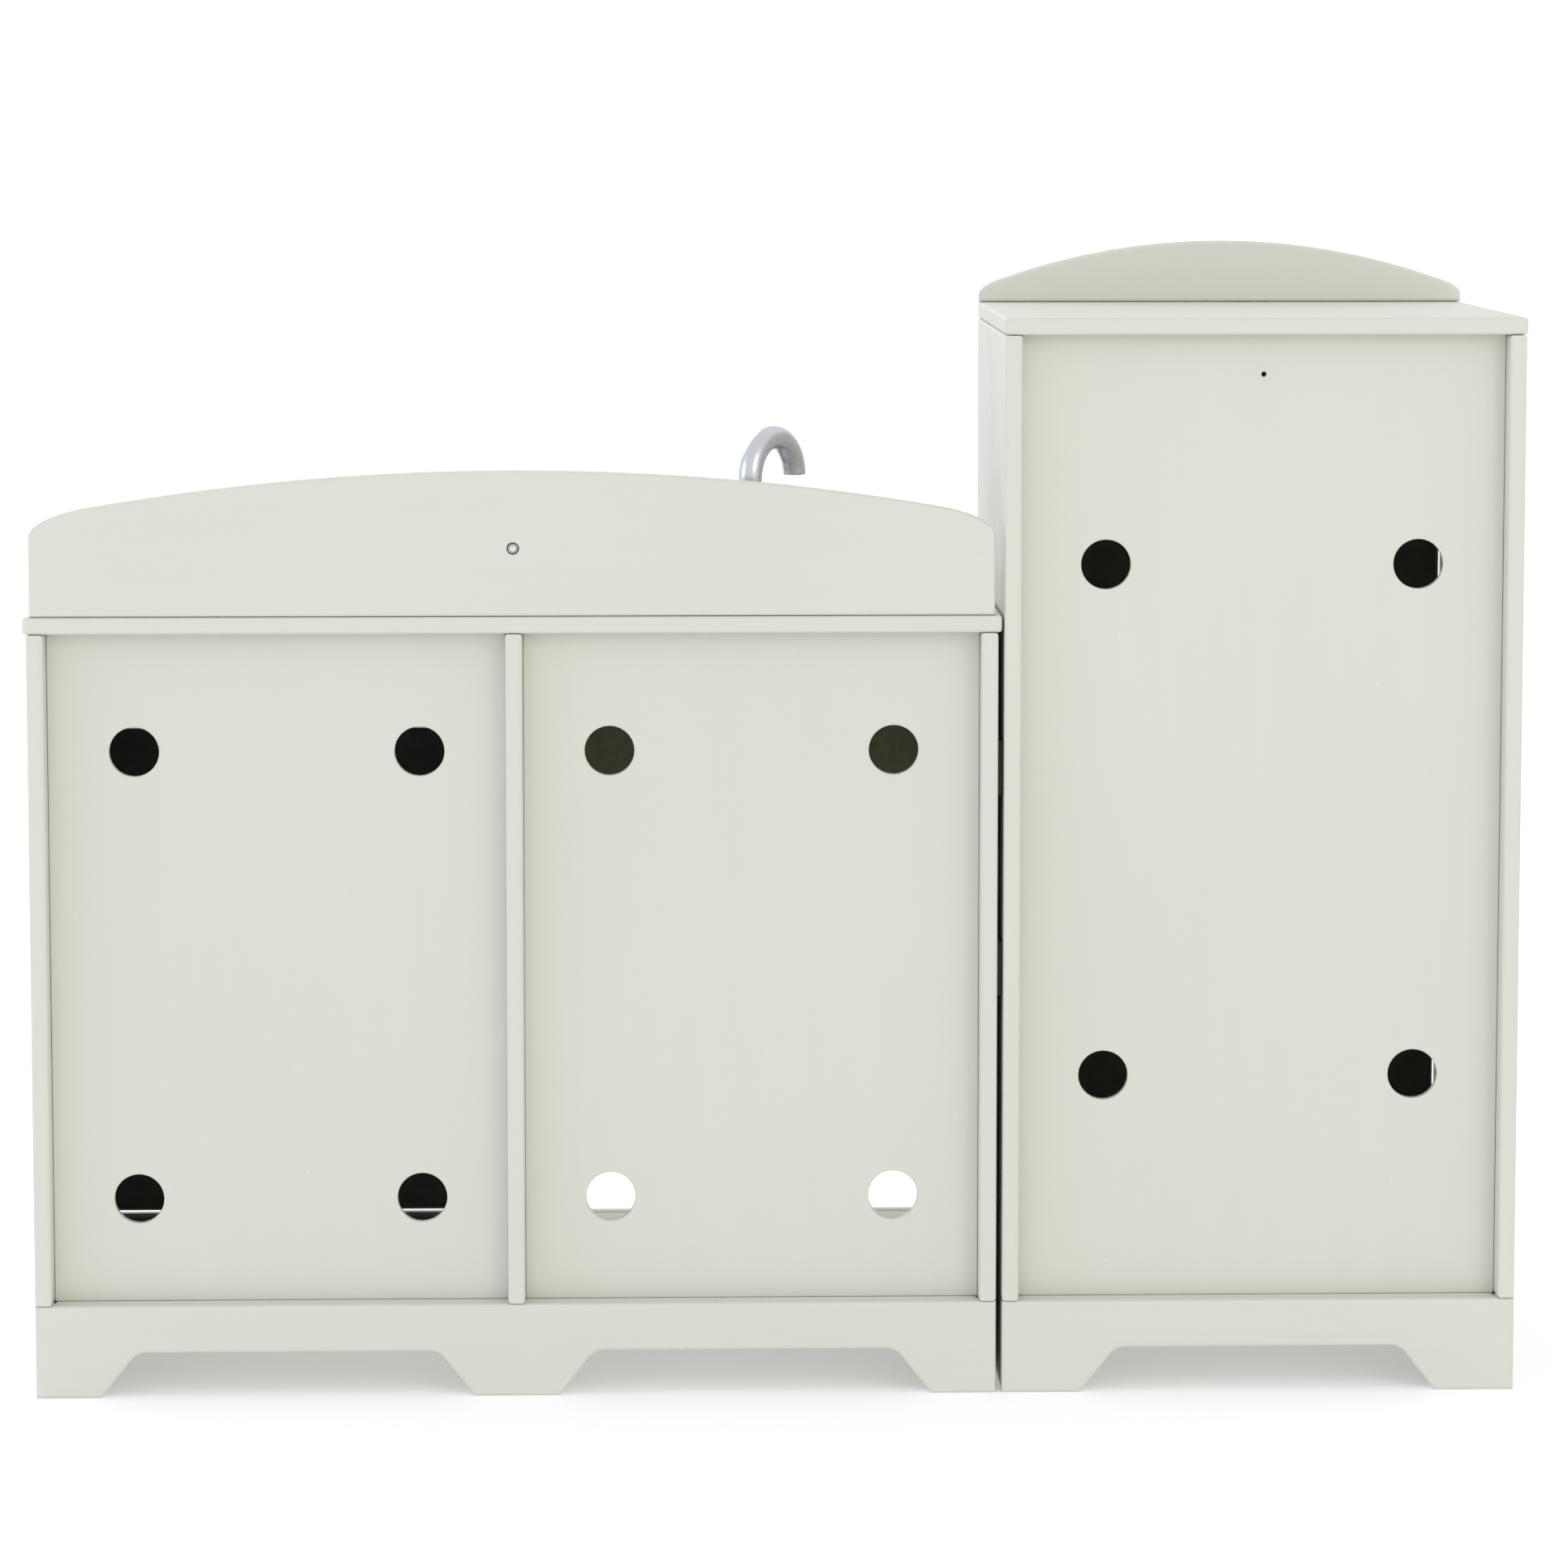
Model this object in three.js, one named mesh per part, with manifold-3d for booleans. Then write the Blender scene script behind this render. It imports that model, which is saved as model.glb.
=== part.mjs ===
// Toy kitchen: a cooker and sink unit beside a fridge-freezer unit, in millimetres.
// +X is to the right of someone who stands in front, the front faces -Y and +Z is up.
// The origin is on the floor, under the middle of the whole kitchen.

import * as THREE from 'three';
import { mergeVertices } from 'three/addons/utils/BufferGeometryUtils.js';
import Module from 'manifold-3d';

const wasm = await Module();
wasm.setup();

// Boards and clearances
const BOARD = 12;
const THIN_BOARD = 5;
const ARRIS = 2;
const SMALL_ARRIS = 0.8;
const ARRIS_STEPS = 2;
const CURVE_STEPS = 8;
const COARSE_STEPS = 4;
const GAP = 0.3;
const DOOR_GAP = 1.5;

// The whole kitchen
const WIDTH = 1045;
const REAR = 160;
const FRONT = -135;
const UNIT_GAP = 4;
const FRIDGE_WIDTH = 363;
const COUNTER_OVERHANG = 2.5;
const COUNTER_FRONT = FRONT - 3;
const REAR_PANEL_RECESS = 16;

// Heights
const PLINTH_TOP = 66;
const COUNTER_TOP = 552;
const FRIDGE_TOP = 759;

// Arched boards: the height of the crest and of the upright ends, and the soft shoulders between
const BACKSPLASH_ARCH = { crest: 101, end: 54, shoulderRun: 38, shoulder: 75.5, pull: 68 };
const PEDIMENT_ARCH = { crest: 45.7, end: 6, shoulderRun: 17.5, shoulder: 17.5, pull: 12 };
const BACKSPLASH_INSET = 2.5;

// Plinth cut-outs
const FOOT_WIDTH = 46;
const MIDDLE_FOOT_WIDTH = 60;
const FRIDGE_FOOT_WIDTH = 56;
const CUTOUT_HEIGHT = 32;
const CUTOUT_SLOPE = 25;
const CUTOUT_CORNER = 7;

// Vent holes in the rear panels
const VENT_RADIUS = 17.5;
const VENT_SPACING = 199;
const KITCHEN_VENTS_LOW = 139;
const KITCHEN_VENTS_HIGH = 456;
const FRIDGE_VENT_SPACING = 219;
const FRIDGE_VENTS_LOW = 224;
const FRIDGE_VENTS_HIGH = 586;
const SCREW_HOLE_RADIUS = 1.8;
const SCREW_HOLE_HEIGHT = 719;

// Doors
const PIN_RADIUS = 3;
const PIN_DEPTH = 8;
const PANEL_BORDER = 38;
const PANEL_RECESS = 2;
const FREEZER_SHELF_TOP = 532;
const FRIDGE_SHELF_TOP = 302;
const OVEN_DOOR_TOP = 438;
const WINDOW_WIDTH = 210;
const WINDOW_HEIGHT = 170;
const WINDOW_LOW = 150;
const WINDOW_LAP = 9;
const WINDOW_THICKNESS = 2.5;
const WINDOW_CORNER = 16;
const PANE_CORNER = 10;
const SHELF_CLEARANCE = 2;

// Handles
const HANDLE_REACH = 25;
const HANDLE_RADIUS = 5.5;
const POST_RADIUS = 4;
const POST_INSET = 24;
const OVEN_HANDLE_SPAN = 230;
const OVEN_HANDLE_DROP = 44;
const FRIDGE_HANDLE_SPAN = 120;
const FRIDGE_HANDLE_DROP = 92;

// Hob and knobs
const FASCIA_LOW = 441;
const APRON_LOW = 362;
const APRON_RISE = 24;
const APRON_SHOULDER = 23;
const APRON_RECESS_HEIGHT = 78;
const APRON_RECESS_DROP = 71;
const HOB_WIDTH = 292;
const HOB_DEPTH = 236;
const HOB_THICKNESS = 2;
const HOB_CORNER = 12;
const BURNER_SPACING_X = 144;
const BURNER_SPACING_Y = 112;
const BURNER_RADII = [44, 34];
const BURNER_HEIGHT = 3;
const KNOB_COUNT = 4;
const KNOB_RADIUS = 17;
const KNOB_REACH = 20;
const KNOB_SHAFT_RADIUS = 4;
const KNOB_TAIL = 6;
const KNOB_GRIP_WIDTH = 8;
const KNOB_GRIP_LOW = 6;
const KNOB_HEIGHT = 490;

// Sink and faucet
const SINK_WIDTH = 210;
const SINK_DEPTH = 156;
const SINK_CENTRE_Y = -8;
const SINK_CORNER = 22;
const BASIN_HEIGHT = 60;
const BASIN_WALL = 2;
const BASIN_RIM = 9;
const BASIN_CLEARANCE = 1;
const BASIN_RIM_CORNER = 28;
const SPOUT_RADIUS = 8.3;
const SPOUT_BEND = 28;
const SPOUT_CROWN = 671;
const SPOUT_Y = 100;
const SPOUT_TURN = THREE.MathUtils.degToRad(35);
const COLLAR_RADIUS = 14;
const COLLAR_HEIGHT = 8;
const TAP_SPACING = 104;
const TAP_ARM_LENGTH = 40;
const TAP_ARM_RADIUS = 3.2;
const TAP_ARM_HEIGHT = 22;

// Clock on the backsplash
const CLOCK_HEIGHT = 599.5;
const CLOCK_SHAFT_RADIUS = 2.5;
const HAND_THICKNESS = 1.5;
const NUT_RADIUS = 3.6;
const NUT_CLEARANCE = 0.7;
const NUT_SINKING = 2;
const HOUR_HAND = { length: 22, halfWidth: 1.4, turn: 305 };
const MINUTE_HAND = { length: 32, halfWidth: 1, turn: 60 };
const HAND_HUB = 5;
const HAND_CLEARANCE = 1;
const HANDS_APART = 0.6;
const BOLT_CLEARANCE = 0.4;

// Oven rack
const RACK_HEIGHT = 246;
const RACK_DEPTH = 222;
const RACK_SLOTS = 9;
const RACK_THICKNESS = 4;
const RACK_CORNER = 8;
const RACK_RIM = 12;
const RACK_ROD = 5;
const RACK_SETBACK = 6;
const RACK_CLEARANCE = 2;
const RUNNER = 10;

// Felt pads between the two units
const PAD = 38;
const PAD_SETBACK = 6;
const PAD_HEIGHTS = { upper: 425, lower: 283 };

// Places worked out from the sizes above
const RIGHT = WIDTH / 2;
const LEFT = -WIDTH / 2;
const KITCHEN_RIGHT = RIGHT - COUNTER_OVERHANG;
const FRIDGE_RIGHT = LEFT + FRIDGE_WIDTH;
const KITCHEN_LEFT = FRIDGE_RIGHT + UNIT_GAP;
const KITCHEN_WIDTH = KITCHEN_RIGHT - KITCHEN_LEFT;
const KITCHEN_MIDDLE = (KITCHEN_LEFT + KITCHEN_RIGHT) / 2;
const BAY_WIDTH = (KITCHEN_WIDTH - 3 * BOARD) / 2;
const SINK_BAY_LEFT = KITCHEN_LEFT + BOARD;
const SINK_BAY_MIDDLE = SINK_BAY_LEFT + BAY_WIDTH / 2;
const STOVE_BAY_LEFT = SINK_BAY_LEFT + BAY_WIDTH + BOARD;
const STOVE_BAY_MIDDLE = STOVE_BAY_LEFT + BAY_WIDTH / 2;
const FRIDGE_INSIDE_LEFT = LEFT + BOARD;
const FRIDGE_INSIDE_WIDTH = FRIDGE_WIDTH - 2 * BOARD;
const FRIDGE_MIDDLE = LEFT + FRIDGE_WIDTH / 2;
const DEPTH = REAR - FRONT;
const COUNTER_UNDERSIDE = COUNTER_TOP - BOARD;
const FRIDGE_UNDERSIDE = FRIDGE_TOP - BOARD;
const REAR_PANEL_Y = REAR - REAR_PANEL_RECESS - THIN_BOARD;
const HINGE_Y = FRONT + BOARD / 2;
const HINGE_INSET = DOOR_GAP + BOARD / 2;
const HINGE_X = FRIDGE_INSIDE_LEFT + HINGE_INSET;
const OVEN_HINGE_Z = PLINTH_TOP + HINGE_INSET;

// Finishes
const PAINT = { color: 0xdedcd2, roughness: 0.5, metalness: 0 };
const SATIN = { color: 0xc4c7cc, roughness: 0.35, metalness: 0.9 };
const STEEL = { color: 0x9fa1a4, roughness: 0.4, metalness: 0.9 };
const DARK = { color: 0x2b2b29, roughness: 0.6, metalness: 0.1 };
const CLEAR = { color: 0xdfe6e8, roughness: 0.1, metalness: 0, transparent: true, opacity: 0.35 };
const FELT = { color: 0x22201e, roughness: 0.9, metalness: 0 };

const kitchen = new THREE.Group();

function put(name, geometry, finish, x, y, z) {
  const mesh = new THREE.Mesh(geometry, new THREE.MeshStandardMaterial(finish));
  mesh.name = name;
  mesh.position.set(x, y, z);
  kitchen.add(mesh);
  return mesh;
}

// Joining and cutting

function toSolid(geometry) {
  const bare = geometry.clone();
  bare.deleteAttribute('normal');
  bare.deleteAttribute('uv');
  const merged = mergeVertices(bare);
  return new wasm.Manifold(new wasm.Mesh({
    numProp: 3,
    vertProperties: merged.attributes.position.array,
    triVerts: Uint32Array.from(merged.index.array),
  }));
}

function toGeometry(body) {
  const mesh = body.getMesh();
  const geometry = new THREE.BufferGeometry();
  geometry.setAttribute('position', new THREE.BufferAttribute(mesh.vertProperties, 3));
  geometry.setIndex(new THREE.BufferAttribute(mesh.triVerts, 1));
  geometry.computeVertexNormals();
  return geometry;
}

function cut(geometry, ...tools) {
  return toGeometry(tools.reduce((body, tool) => body.subtract(toSolid(tool)), toSolid(geometry)));
}

function join(geometry, ...others) {
  return toGeometry(others.reduce((body, other) => body.add(toSolid(other)), toSolid(geometry)));
}

// Outlines

function rectangle(width, height) {
  const outline = new THREE.Shape();
  outline.moveTo(0, 0);
  outline.lineTo(width, 0);
  outline.lineTo(width, height);
  outline.lineTo(0, height);
  return outline;
}

function roundedRectangle(width, height, radius) {
  const outline = new THREE.Shape();
  const x = width / 2 - radius;
  const y = height / 2 - radius;
  outline.moveTo(-x, -height / 2);
  outline.absarc(x, -y, radius, -Math.PI / 2, 0);
  outline.absarc(x, y, radius, 0, Math.PI / 2);
  outline.absarc(-x, y, radius, Math.PI / 2, Math.PI);
  outline.absarc(-x, -y, radius, Math.PI, 1.5 * Math.PI);
  return outline;
}

function roundHole(x, y, radius) {
  const hole = new THREE.Path();
  hole.absarc(x, y, radius, 0, 2 * Math.PI);
  return hole;
}

// A board with a shallow arch along its top, soft shoulders and short upright ends.
function archedOutline(width, arch) {
  const half = width / 2;
  const reach = half - arch.shoulderRun;
  const rise = arch.crest - arch.shoulder;
  const radius = (reach * reach + rise * rise) / (2 * rise);
  const sweep = Math.asin(reach / radius);
  const outline = new THREE.Shape();
  outline.moveTo(-half, 0);
  outline.lineTo(half, 0);
  outline.lineTo(half, arch.end);
  outline.quadraticCurveTo(half, arch.pull, reach, arch.shoulder);
  outline.absarc(0, arch.crest - radius, radius, Math.PI / 2 - sweep, Math.PI / 2 + sweep);
  outline.quadraticCurveTo(-half, arch.pull, -half, arch.end);
  return outline;
}

// A plinth rail: feet at the given places, with sloping cut-outs between them.
function plinthOutline(width, feet) {
  const outline = new THREE.Shape();
  const top = CUTOUT_HEIGHT;
  const lean = CUTOUT_CORNER * CUTOUT_SLOPE / Math.hypot(CUTOUT_SLOPE, top);
  const drop = CUTOUT_CORNER * top / Math.hypot(CUTOUT_SLOPE, top);
  outline.moveTo(0, PLINTH_TOP - GAP);
  outline.lineTo(0, 0);
  for (let i = 0; i < feet.length - 1; i += 1) {
    const start = feet[i][1];
    const end = feet[i + 1][0];
    outline.lineTo(start, 0);
    outline.lineTo(start + CUTOUT_SLOPE - lean, top - drop);
    outline.quadraticCurveTo(start + CUTOUT_SLOPE, top, start + CUTOUT_SLOPE + CUTOUT_CORNER, top);
    outline.lineTo(end - CUTOUT_SLOPE - CUTOUT_CORNER, top);
    outline.quadraticCurveTo(end - CUTOUT_SLOPE, top, end - CUTOUT_SLOPE + lean, top - drop);
    outline.lineTo(end, 0);
  }
  outline.lineTo(width, 0);
  outline.lineTo(width, PLINTH_TOP - GAP);
  return outline;
}

// Solids

function plate(outline, thickness, arris = ARRIS, curveSteps = CURVE_STEPS) {
  const geometry = new THREE.ExtrudeGeometry(outline, {
    depth: thickness - 2 * arris,
    bevelEnabled: arris > 0,
    bevelThickness: arris,
    bevelSize: arris,
    bevelOffset: -arris,
    bevelSegments: ARRIS_STEPS,
    curveSegments: curveSteps,
  });
  geometry.translate(0, 0, arris);
  return geometry;
}

const X_AXIS = new THREE.Vector3(1, 0, 0);
const Y_AXIS = new THREE.Vector3(0, 1, 0);
const Z_AXIS = new THREE.Vector3(0, 0, 1);

// A board that faces front and rear: its outline is in X and Z.
function facingBoard(outline, thickness, arris, curveSteps) {
  const turn = new THREE.Matrix4().makeBasis(X_AXIS, Z_AXIS, Y_AXIS.clone().negate());
  const geometry = plate(outline, thickness, arris, curveSteps).applyMatrix4(turn);
  return geometry.translate(0, thickness, 0);
}

// A board that faces left and right: its outline is in Y and Z.
function sideBoard(outline, thickness, arris) {
  const turn = new THREE.Matrix4().makeBasis(Y_AXIS, Z_AXIS, X_AXIS);
  return plate(outline, thickness, arris).applyMatrix4(turn);
}

// A round bar from the origin along +Z, +X or +Y.
function bar(radius, length, axis = Z_AXIS, sides = 16) {
  const geometry = new THREE.CylinderGeometry(radius, radius, length, sides);
  geometry.translate(0, length / 2, 0);
  if (axis === Z_AXIS) geometry.rotateX(Math.PI / 2);
  if (axis === X_AXIS) geometry.rotateZ(-Math.PI / 2);
  return geometry;
}

// A turned piece about Z, from radius and height pairs that start and end on the axis.
function turned(profile, sides = 28) {
  const points = profile.map(([radius, height]) => new THREE.Vector2(radius, height));
  return new THREE.LatheGeometry(points, sides).rotateX(Math.PI / 2);
}

// A door that lies from its hinge pin, at the origin, along +X and stands up along +Z.
// Its hinge edge is a half round about the pin, so that it clears the board beside it.
function doorBoard(length, height) {
  const half = BOARD / 2;
  const corner = ARRIS + 0.5;
  const outline = new THREE.Shape();
  outline.moveTo(0, -half);
  outline.absarc(length - corner, corner - half, corner, -Math.PI / 2, 0);
  outline.absarc(length - corner, half - corner, corner, 0, Math.PI / 2);
  outline.absarc(0, 0, half, Math.PI / 2, 1.5 * Math.PI);
  return plate(outline, height, ARRIS, 3);
}

// A bar handle: the grip runs along X, and its two posts stand on the plane y = 0.
function barHandle(span) {
  const reach = HANDLE_REACH - HANDLE_RADIUS;
  const end = span / 2;
  const dome = HANDLE_RADIUS;
  const profile = [
    [0, -end], [0.6 * dome, 0.2 * dome - end], [dome, dome - end],
    [dome, end - dome], [0.6 * dome, end - 0.2 * dome], [0, end],
  ];
  const grip = turned(profile, 14).rotateY(Math.PI / 2).translate(0, -reach, 0);
  const posts = [-1, 1].map((side) => {
    const post = bar(POST_RADIUS, reach - GAP, Y_AXIS, 10);
    return post.translate(side * (end - POST_INSET), -reach, 0);
  });
  return join(grip, ...posts);
}

// The cooker and sink unit

function makeKitchenPlinth() {
  const middle = KITCHEN_WIDTH / 2;
  const feet = [
    [0, FOOT_WIDTH],
    [middle - MIDDLE_FOOT_WIDTH / 2, middle + MIDDLE_FOOT_WIDTH / 2],
    [KITCHEN_WIDTH - FOOT_WIDTH, KITCHEN_WIDTH],
  ];
  const rail = () => facingBoard(plinthOutline(KITCHEN_WIDTH, feet), BOARD, ARRIS, 4);
  put('kitchen_plinth_rear', rail(), PAINT, KITCHEN_LEFT, REAR - BOARD, 0);
  put('kitchen_plinth_front', rail(), PAINT, KITCHEN_LEFT, FRONT, 0);
  makePlinthInside('kitchen', KITCHEN_LEFT, KITCHEN_RIGHT);
}

// The end boards and the base board that lie between a unit's two plinth rails.
function makePlinthInside(unit, left, right) {
  const y = FRONT + BOARD + GAP;
  const run = DEPTH - 2 * BOARD - 2 * GAP;
  const end = () => sideBoard(rectangle(run, PLINTH_TOP - GAP), BOARD);
  put(`${unit}_plinth_end_left`, end(), PAINT, left, y, 0);
  put(`${unit}_plinth_end_right`, end(), PAINT, right - BOARD, y, 0);
  const width = right - left - 2 * BOARD - 2 * GAP;
  const base = plate(rectangle(width, run), BOARD);
  put(`${unit}_base`, base, PAINT, left + BOARD + GAP, y, PLINTH_TOP - GAP - BOARD);
}

function makeKitchenUprights() {
  const height = COUNTER_UNDERSIDE - GAP - PLINTH_TOP;
  const upright = () => sideBoard(rectangle(DEPTH, height), BOARD);
  const socket = bar(PIN_RADIUS + GAP, PIN_DEPTH + GAP + 1, X_AXIS);
  const hingeY = HINGE_Y - FRONT;
  const hingeZ = OVEN_HINGE_Z - PLINTH_TOP;
  put('kitchen_side_left', upright(), PAINT, KITCHEN_LEFT, FRONT, PLINTH_TOP);
  const rightSocket = socket.clone().translate(-1, hingeY, hingeZ);
  put('kitchen_side_right', cut(upright(), rightSocket), PAINT, KITCHEN_RIGHT - BOARD, FRONT, PLINTH_TOP);
  const leftSocket = socket.clone().translate(BOARD - PIN_DEPTH - GAP, hingeY, hingeZ);
  const dividerX = STOVE_BAY_LEFT - BOARD;
  put('kitchen_divider', cut(upright(), leftSocket), PAINT, dividerX, FRONT, PLINTH_TOP);
}

function makeCountertop() {
  const width = KITCHEN_WIDTH + 2 * COUNTER_OVERHANG;
  const outline = roundedRectangle(width, REAR - COUNTER_FRONT, ARRIS + 1);
  const centreY = (REAR + COUNTER_FRONT) / 2;
  const counter = plate(outline, BOARD, ARRIS, 4);
  const sinkHole = plate(roundedRectangle(SINK_WIDTH, SINK_DEPTH, SINK_CORNER), 2 * BOARD, 0, 3);
  sinkHole.translate(SINK_BAY_MIDDLE - KITCHEN_MIDDLE, SINK_CENTRE_Y - centreY, -BOARD / 2);
  put('countertop', cut(counter, sinkHole), PAINT, KITCHEN_MIDDLE, centreY, COUNTER_UNDERSIDE);
}

function makeBacksplash() {
  const outline = archedOutline(KITCHEN_WIDTH - 2 * BACKSPLASH_INSET, BACKSPLASH_ARCH);
  const bottom = COUNTER_TOP + GAP;
  const board = facingBoard(outline, BOARD, ARRIS, 10);
  const shaftHole = bar(CLOCK_SHAFT_RADIUS + GAP, 2 * BOARD, Y_AXIS, 16);
  shaftHole.translate(0, -BOARD / 2, CLOCK_HEIGHT - bottom);
  const sinking = bar(NUT_RADIUS + NUT_CLEARANCE, BOARD, Y_AXIS, 24);
  sinking.translate(0, BOARD - NUT_SINKING, CLOCK_HEIGHT - bottom);
  put('backsplash', cut(board, shaftHole, sinking), PAINT, KITCHEN_MIDDLE, REAR - BOARD, bottom);
}

function makeRearPanel(name, left, width, top, spacing, ventHeights, extraHoles) {
  const panelWidth = width - 2 * GAP;
  const outline = rectangle(panelWidth, top - PLINTH_TOP - GAP);
  for (const height of ventHeights) {
    for (const side of [-1, 1]) {
      const x = (panelWidth + side * spacing) / 2;
      outline.holes.push(roundHole(x, height - PLINTH_TOP, VENT_RADIUS));
    }
  }
  for (const [height, radius] of extraHoles) {
    outline.holes.push(roundHole(panelWidth / 2, height - PLINTH_TOP, radius));
  }
  const panel = facingBoard(outline, THIN_BOARD, 0, 14);
  put(name, panel, PAINT, left + GAP, REAR_PANEL_Y, PLINTH_TOP);
}

function makeKitchenRear() {
  const heights = [KITCHEN_VENTS_LOW, KITCHEN_VENTS_HIGH];
  const top = COUNTER_UNDERSIDE;
  makeRearPanel('rear_panel_sink', SINK_BAY_LEFT, BAY_WIDTH, top, VENT_SPACING, heights, []);
  makeRearPanel('rear_panel_stove', STOVE_BAY_LEFT, BAY_WIDTH, top, VENT_SPACING, heights, []);
}

function knobX(index) {
  return STOVE_BAY_LEFT + BAY_WIDTH * (index + 0.5) / KNOB_COUNT;
}

function makeFascia() {
  const outline = rectangle(BAY_WIDTH - 2 * GAP, COUNTER_UNDERSIDE - GAP - FASCIA_LOW);
  const left = STOVE_BAY_LEFT + GAP;
  const holes = Array.from({ length: KNOB_COUNT }, (_, i) => {
    const hole = bar(KNOB_SHAFT_RADIUS + GAP, 2 * BOARD, Y_AXIS, 16);
    return hole.translate(knobX(i) - left, -BOARD / 2, KNOB_HEIGHT - FASCIA_LOW);
  });
  const fascia = cut(facingBoard(outline, BOARD, SMALL_ARRIS), ...holes);
  put('control_fascia', fascia, PAINT, left, FRONT, FASCIA_LOW);
}

// A knob on its shaft, about Y, with a grip bar across its face.
function knobGeometry() {
  const tail = -BOARD - 2 * GAP - KNOB_TAIL;
  const profile = [
    [0, tail], [KNOB_SHAFT_RADIUS, tail], [KNOB_SHAFT_RADIUS, 0], [KNOB_RADIUS, 0],
    [KNOB_RADIUS, 2.5], [KNOB_RADIUS - 2, 4], [KNOB_RADIUS - 3, 9], [KNOB_RADIUS - 5, 10.5], [0, 10.5],
  ];
  const gripOutline = roundedRectangle(KNOB_GRIP_WIDTH, 2 * KNOB_RADIUS - 4, 3);
  const grip = plate(gripOutline, KNOB_REACH - KNOB_GRIP_LOW, 0, 2).translate(0, 0, KNOB_GRIP_LOW);
  return join(turned(profile, 22), grip).rotateX(Math.PI / 2);
}

function makeKnobs() {
  for (let i = 0; i < KNOB_COUNT; i += 1) {
    put(`knob_${i + 1}`, knobGeometry(), DARK, knobX(i), FRONT - GAP, KNOB_HEIGHT);
  }
}

function makeSinkApron() {
  const width = BAY_WIDTH - 2 * GAP;
  const height = COUNTER_UNDERSIDE - GAP - APRON_LOW;
  const outline = new THREE.Shape();
  outline.moveTo(0, height);
  outline.lineTo(0, 0);
  outline.lineTo(APRON_SHOULDER, 0);
  outline.quadraticCurveTo(width / 2, 2 * APRON_RISE, width - APRON_SHOULDER, 0);
  outline.lineTo(width, 0);
  outline.lineTo(width, height);
  const board = facingBoard(outline, BOARD, ARRIS, 10);
  const recessWidth = width - 2 * PANEL_BORDER;
  const recess = new THREE.BoxGeometry(recessWidth, 2 * PANEL_RECESS, APRON_RECESS_HEIGHT);
  recess.translate(width / 2, 0, height - APRON_RECESS_DROP);
  put('sink_apron', cut(board, recess), PAINT, SINK_BAY_LEFT + GAP, FRONT, APRON_LOW);
}

function makeOvenDoor() {
  makeOvenLeaf();
  makeOvenPane();
  makeOvenPins();
  const handleHeight = OVEN_DOOR_TOP - OVEN_HANDLE_DROP;
  put('oven_handle', barHandle(OVEN_HANDLE_SPAN), SATIN, STOVE_BAY_MIDDLE, FRONT, handleHeight);
}

function makeOvenLeaf() {
  const width = BAY_WIDTH - 2 * DOOR_GAP;
  const length = OVEN_DOOR_TOP - OVEN_HINGE_Z;
  const turn = new THREE.Matrix4().makeBasis(Z_AXIS, Y_AXIS, X_AXIS.clone().negate());
  const board = doorBoard(length, width).applyMatrix4(turn).translate(width, 0, 0);
  const windowMiddle = WINDOW_LOW + WINDOW_HEIGHT / 2 - OVEN_HINGE_Z;
  const openingOutline = roundedRectangle(WINDOW_WIDTH, WINDOW_HEIGHT, WINDOW_CORNER);
  const opening = facingBoard(openingOutline, 2 * BOARD, 0, 5);
  opening.translate(width / 2, -BOARD, windowMiddle);
  const socket = bar(PIN_RADIUS + GAP, PIN_DEPTH + GAP + 1, X_AXIS);
  const leftSocket = socket.clone().translate(-1, 0, 0);
  const rightSocket = socket.clone().translate(width - PIN_DEPTH - GAP, 0, 0);
  const door = cut(board, opening, leftSocket, rightSocket);
  put('oven_door', door, PAINT, STOVE_BAY_LEFT + DOOR_GAP, HINGE_Y, OVEN_HINGE_Z);
}

function makeOvenPane() {
  const width = WINDOW_WIDTH + 2 * WINDOW_LAP;
  const height = WINDOW_HEIGHT + 2 * WINDOW_LAP;
  const outline = roundedRectangle(width, height, PANE_CORNER);
  const pane = facingBoard(outline, WINDOW_THICKNESS, 0, COARSE_STEPS);
  const z = WINDOW_LOW + WINDOW_HEIGHT / 2;
  put('oven_window', pane, CLEAR, STOVE_BAY_MIDDLE, FRONT + BOARD + GAP, z);
}

function makeOvenPins() {
  const pinLength = 2 * PIN_DEPTH + DOOR_GAP;
  const pin = () => bar(PIN_RADIUS, pinLength, X_AXIS, 16);
  put('oven_pin_left', pin(), STEEL, STOVE_BAY_LEFT - PIN_DEPTH, HINGE_Y, OVEN_HINGE_Z);
  const rightX = STOVE_BAY_LEFT + BAY_WIDTH + PIN_DEPTH - pinLength;
  put('oven_pin_right', pin(), STEEL, rightX, HINGE_Y, OVEN_HINGE_Z);
}

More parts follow.
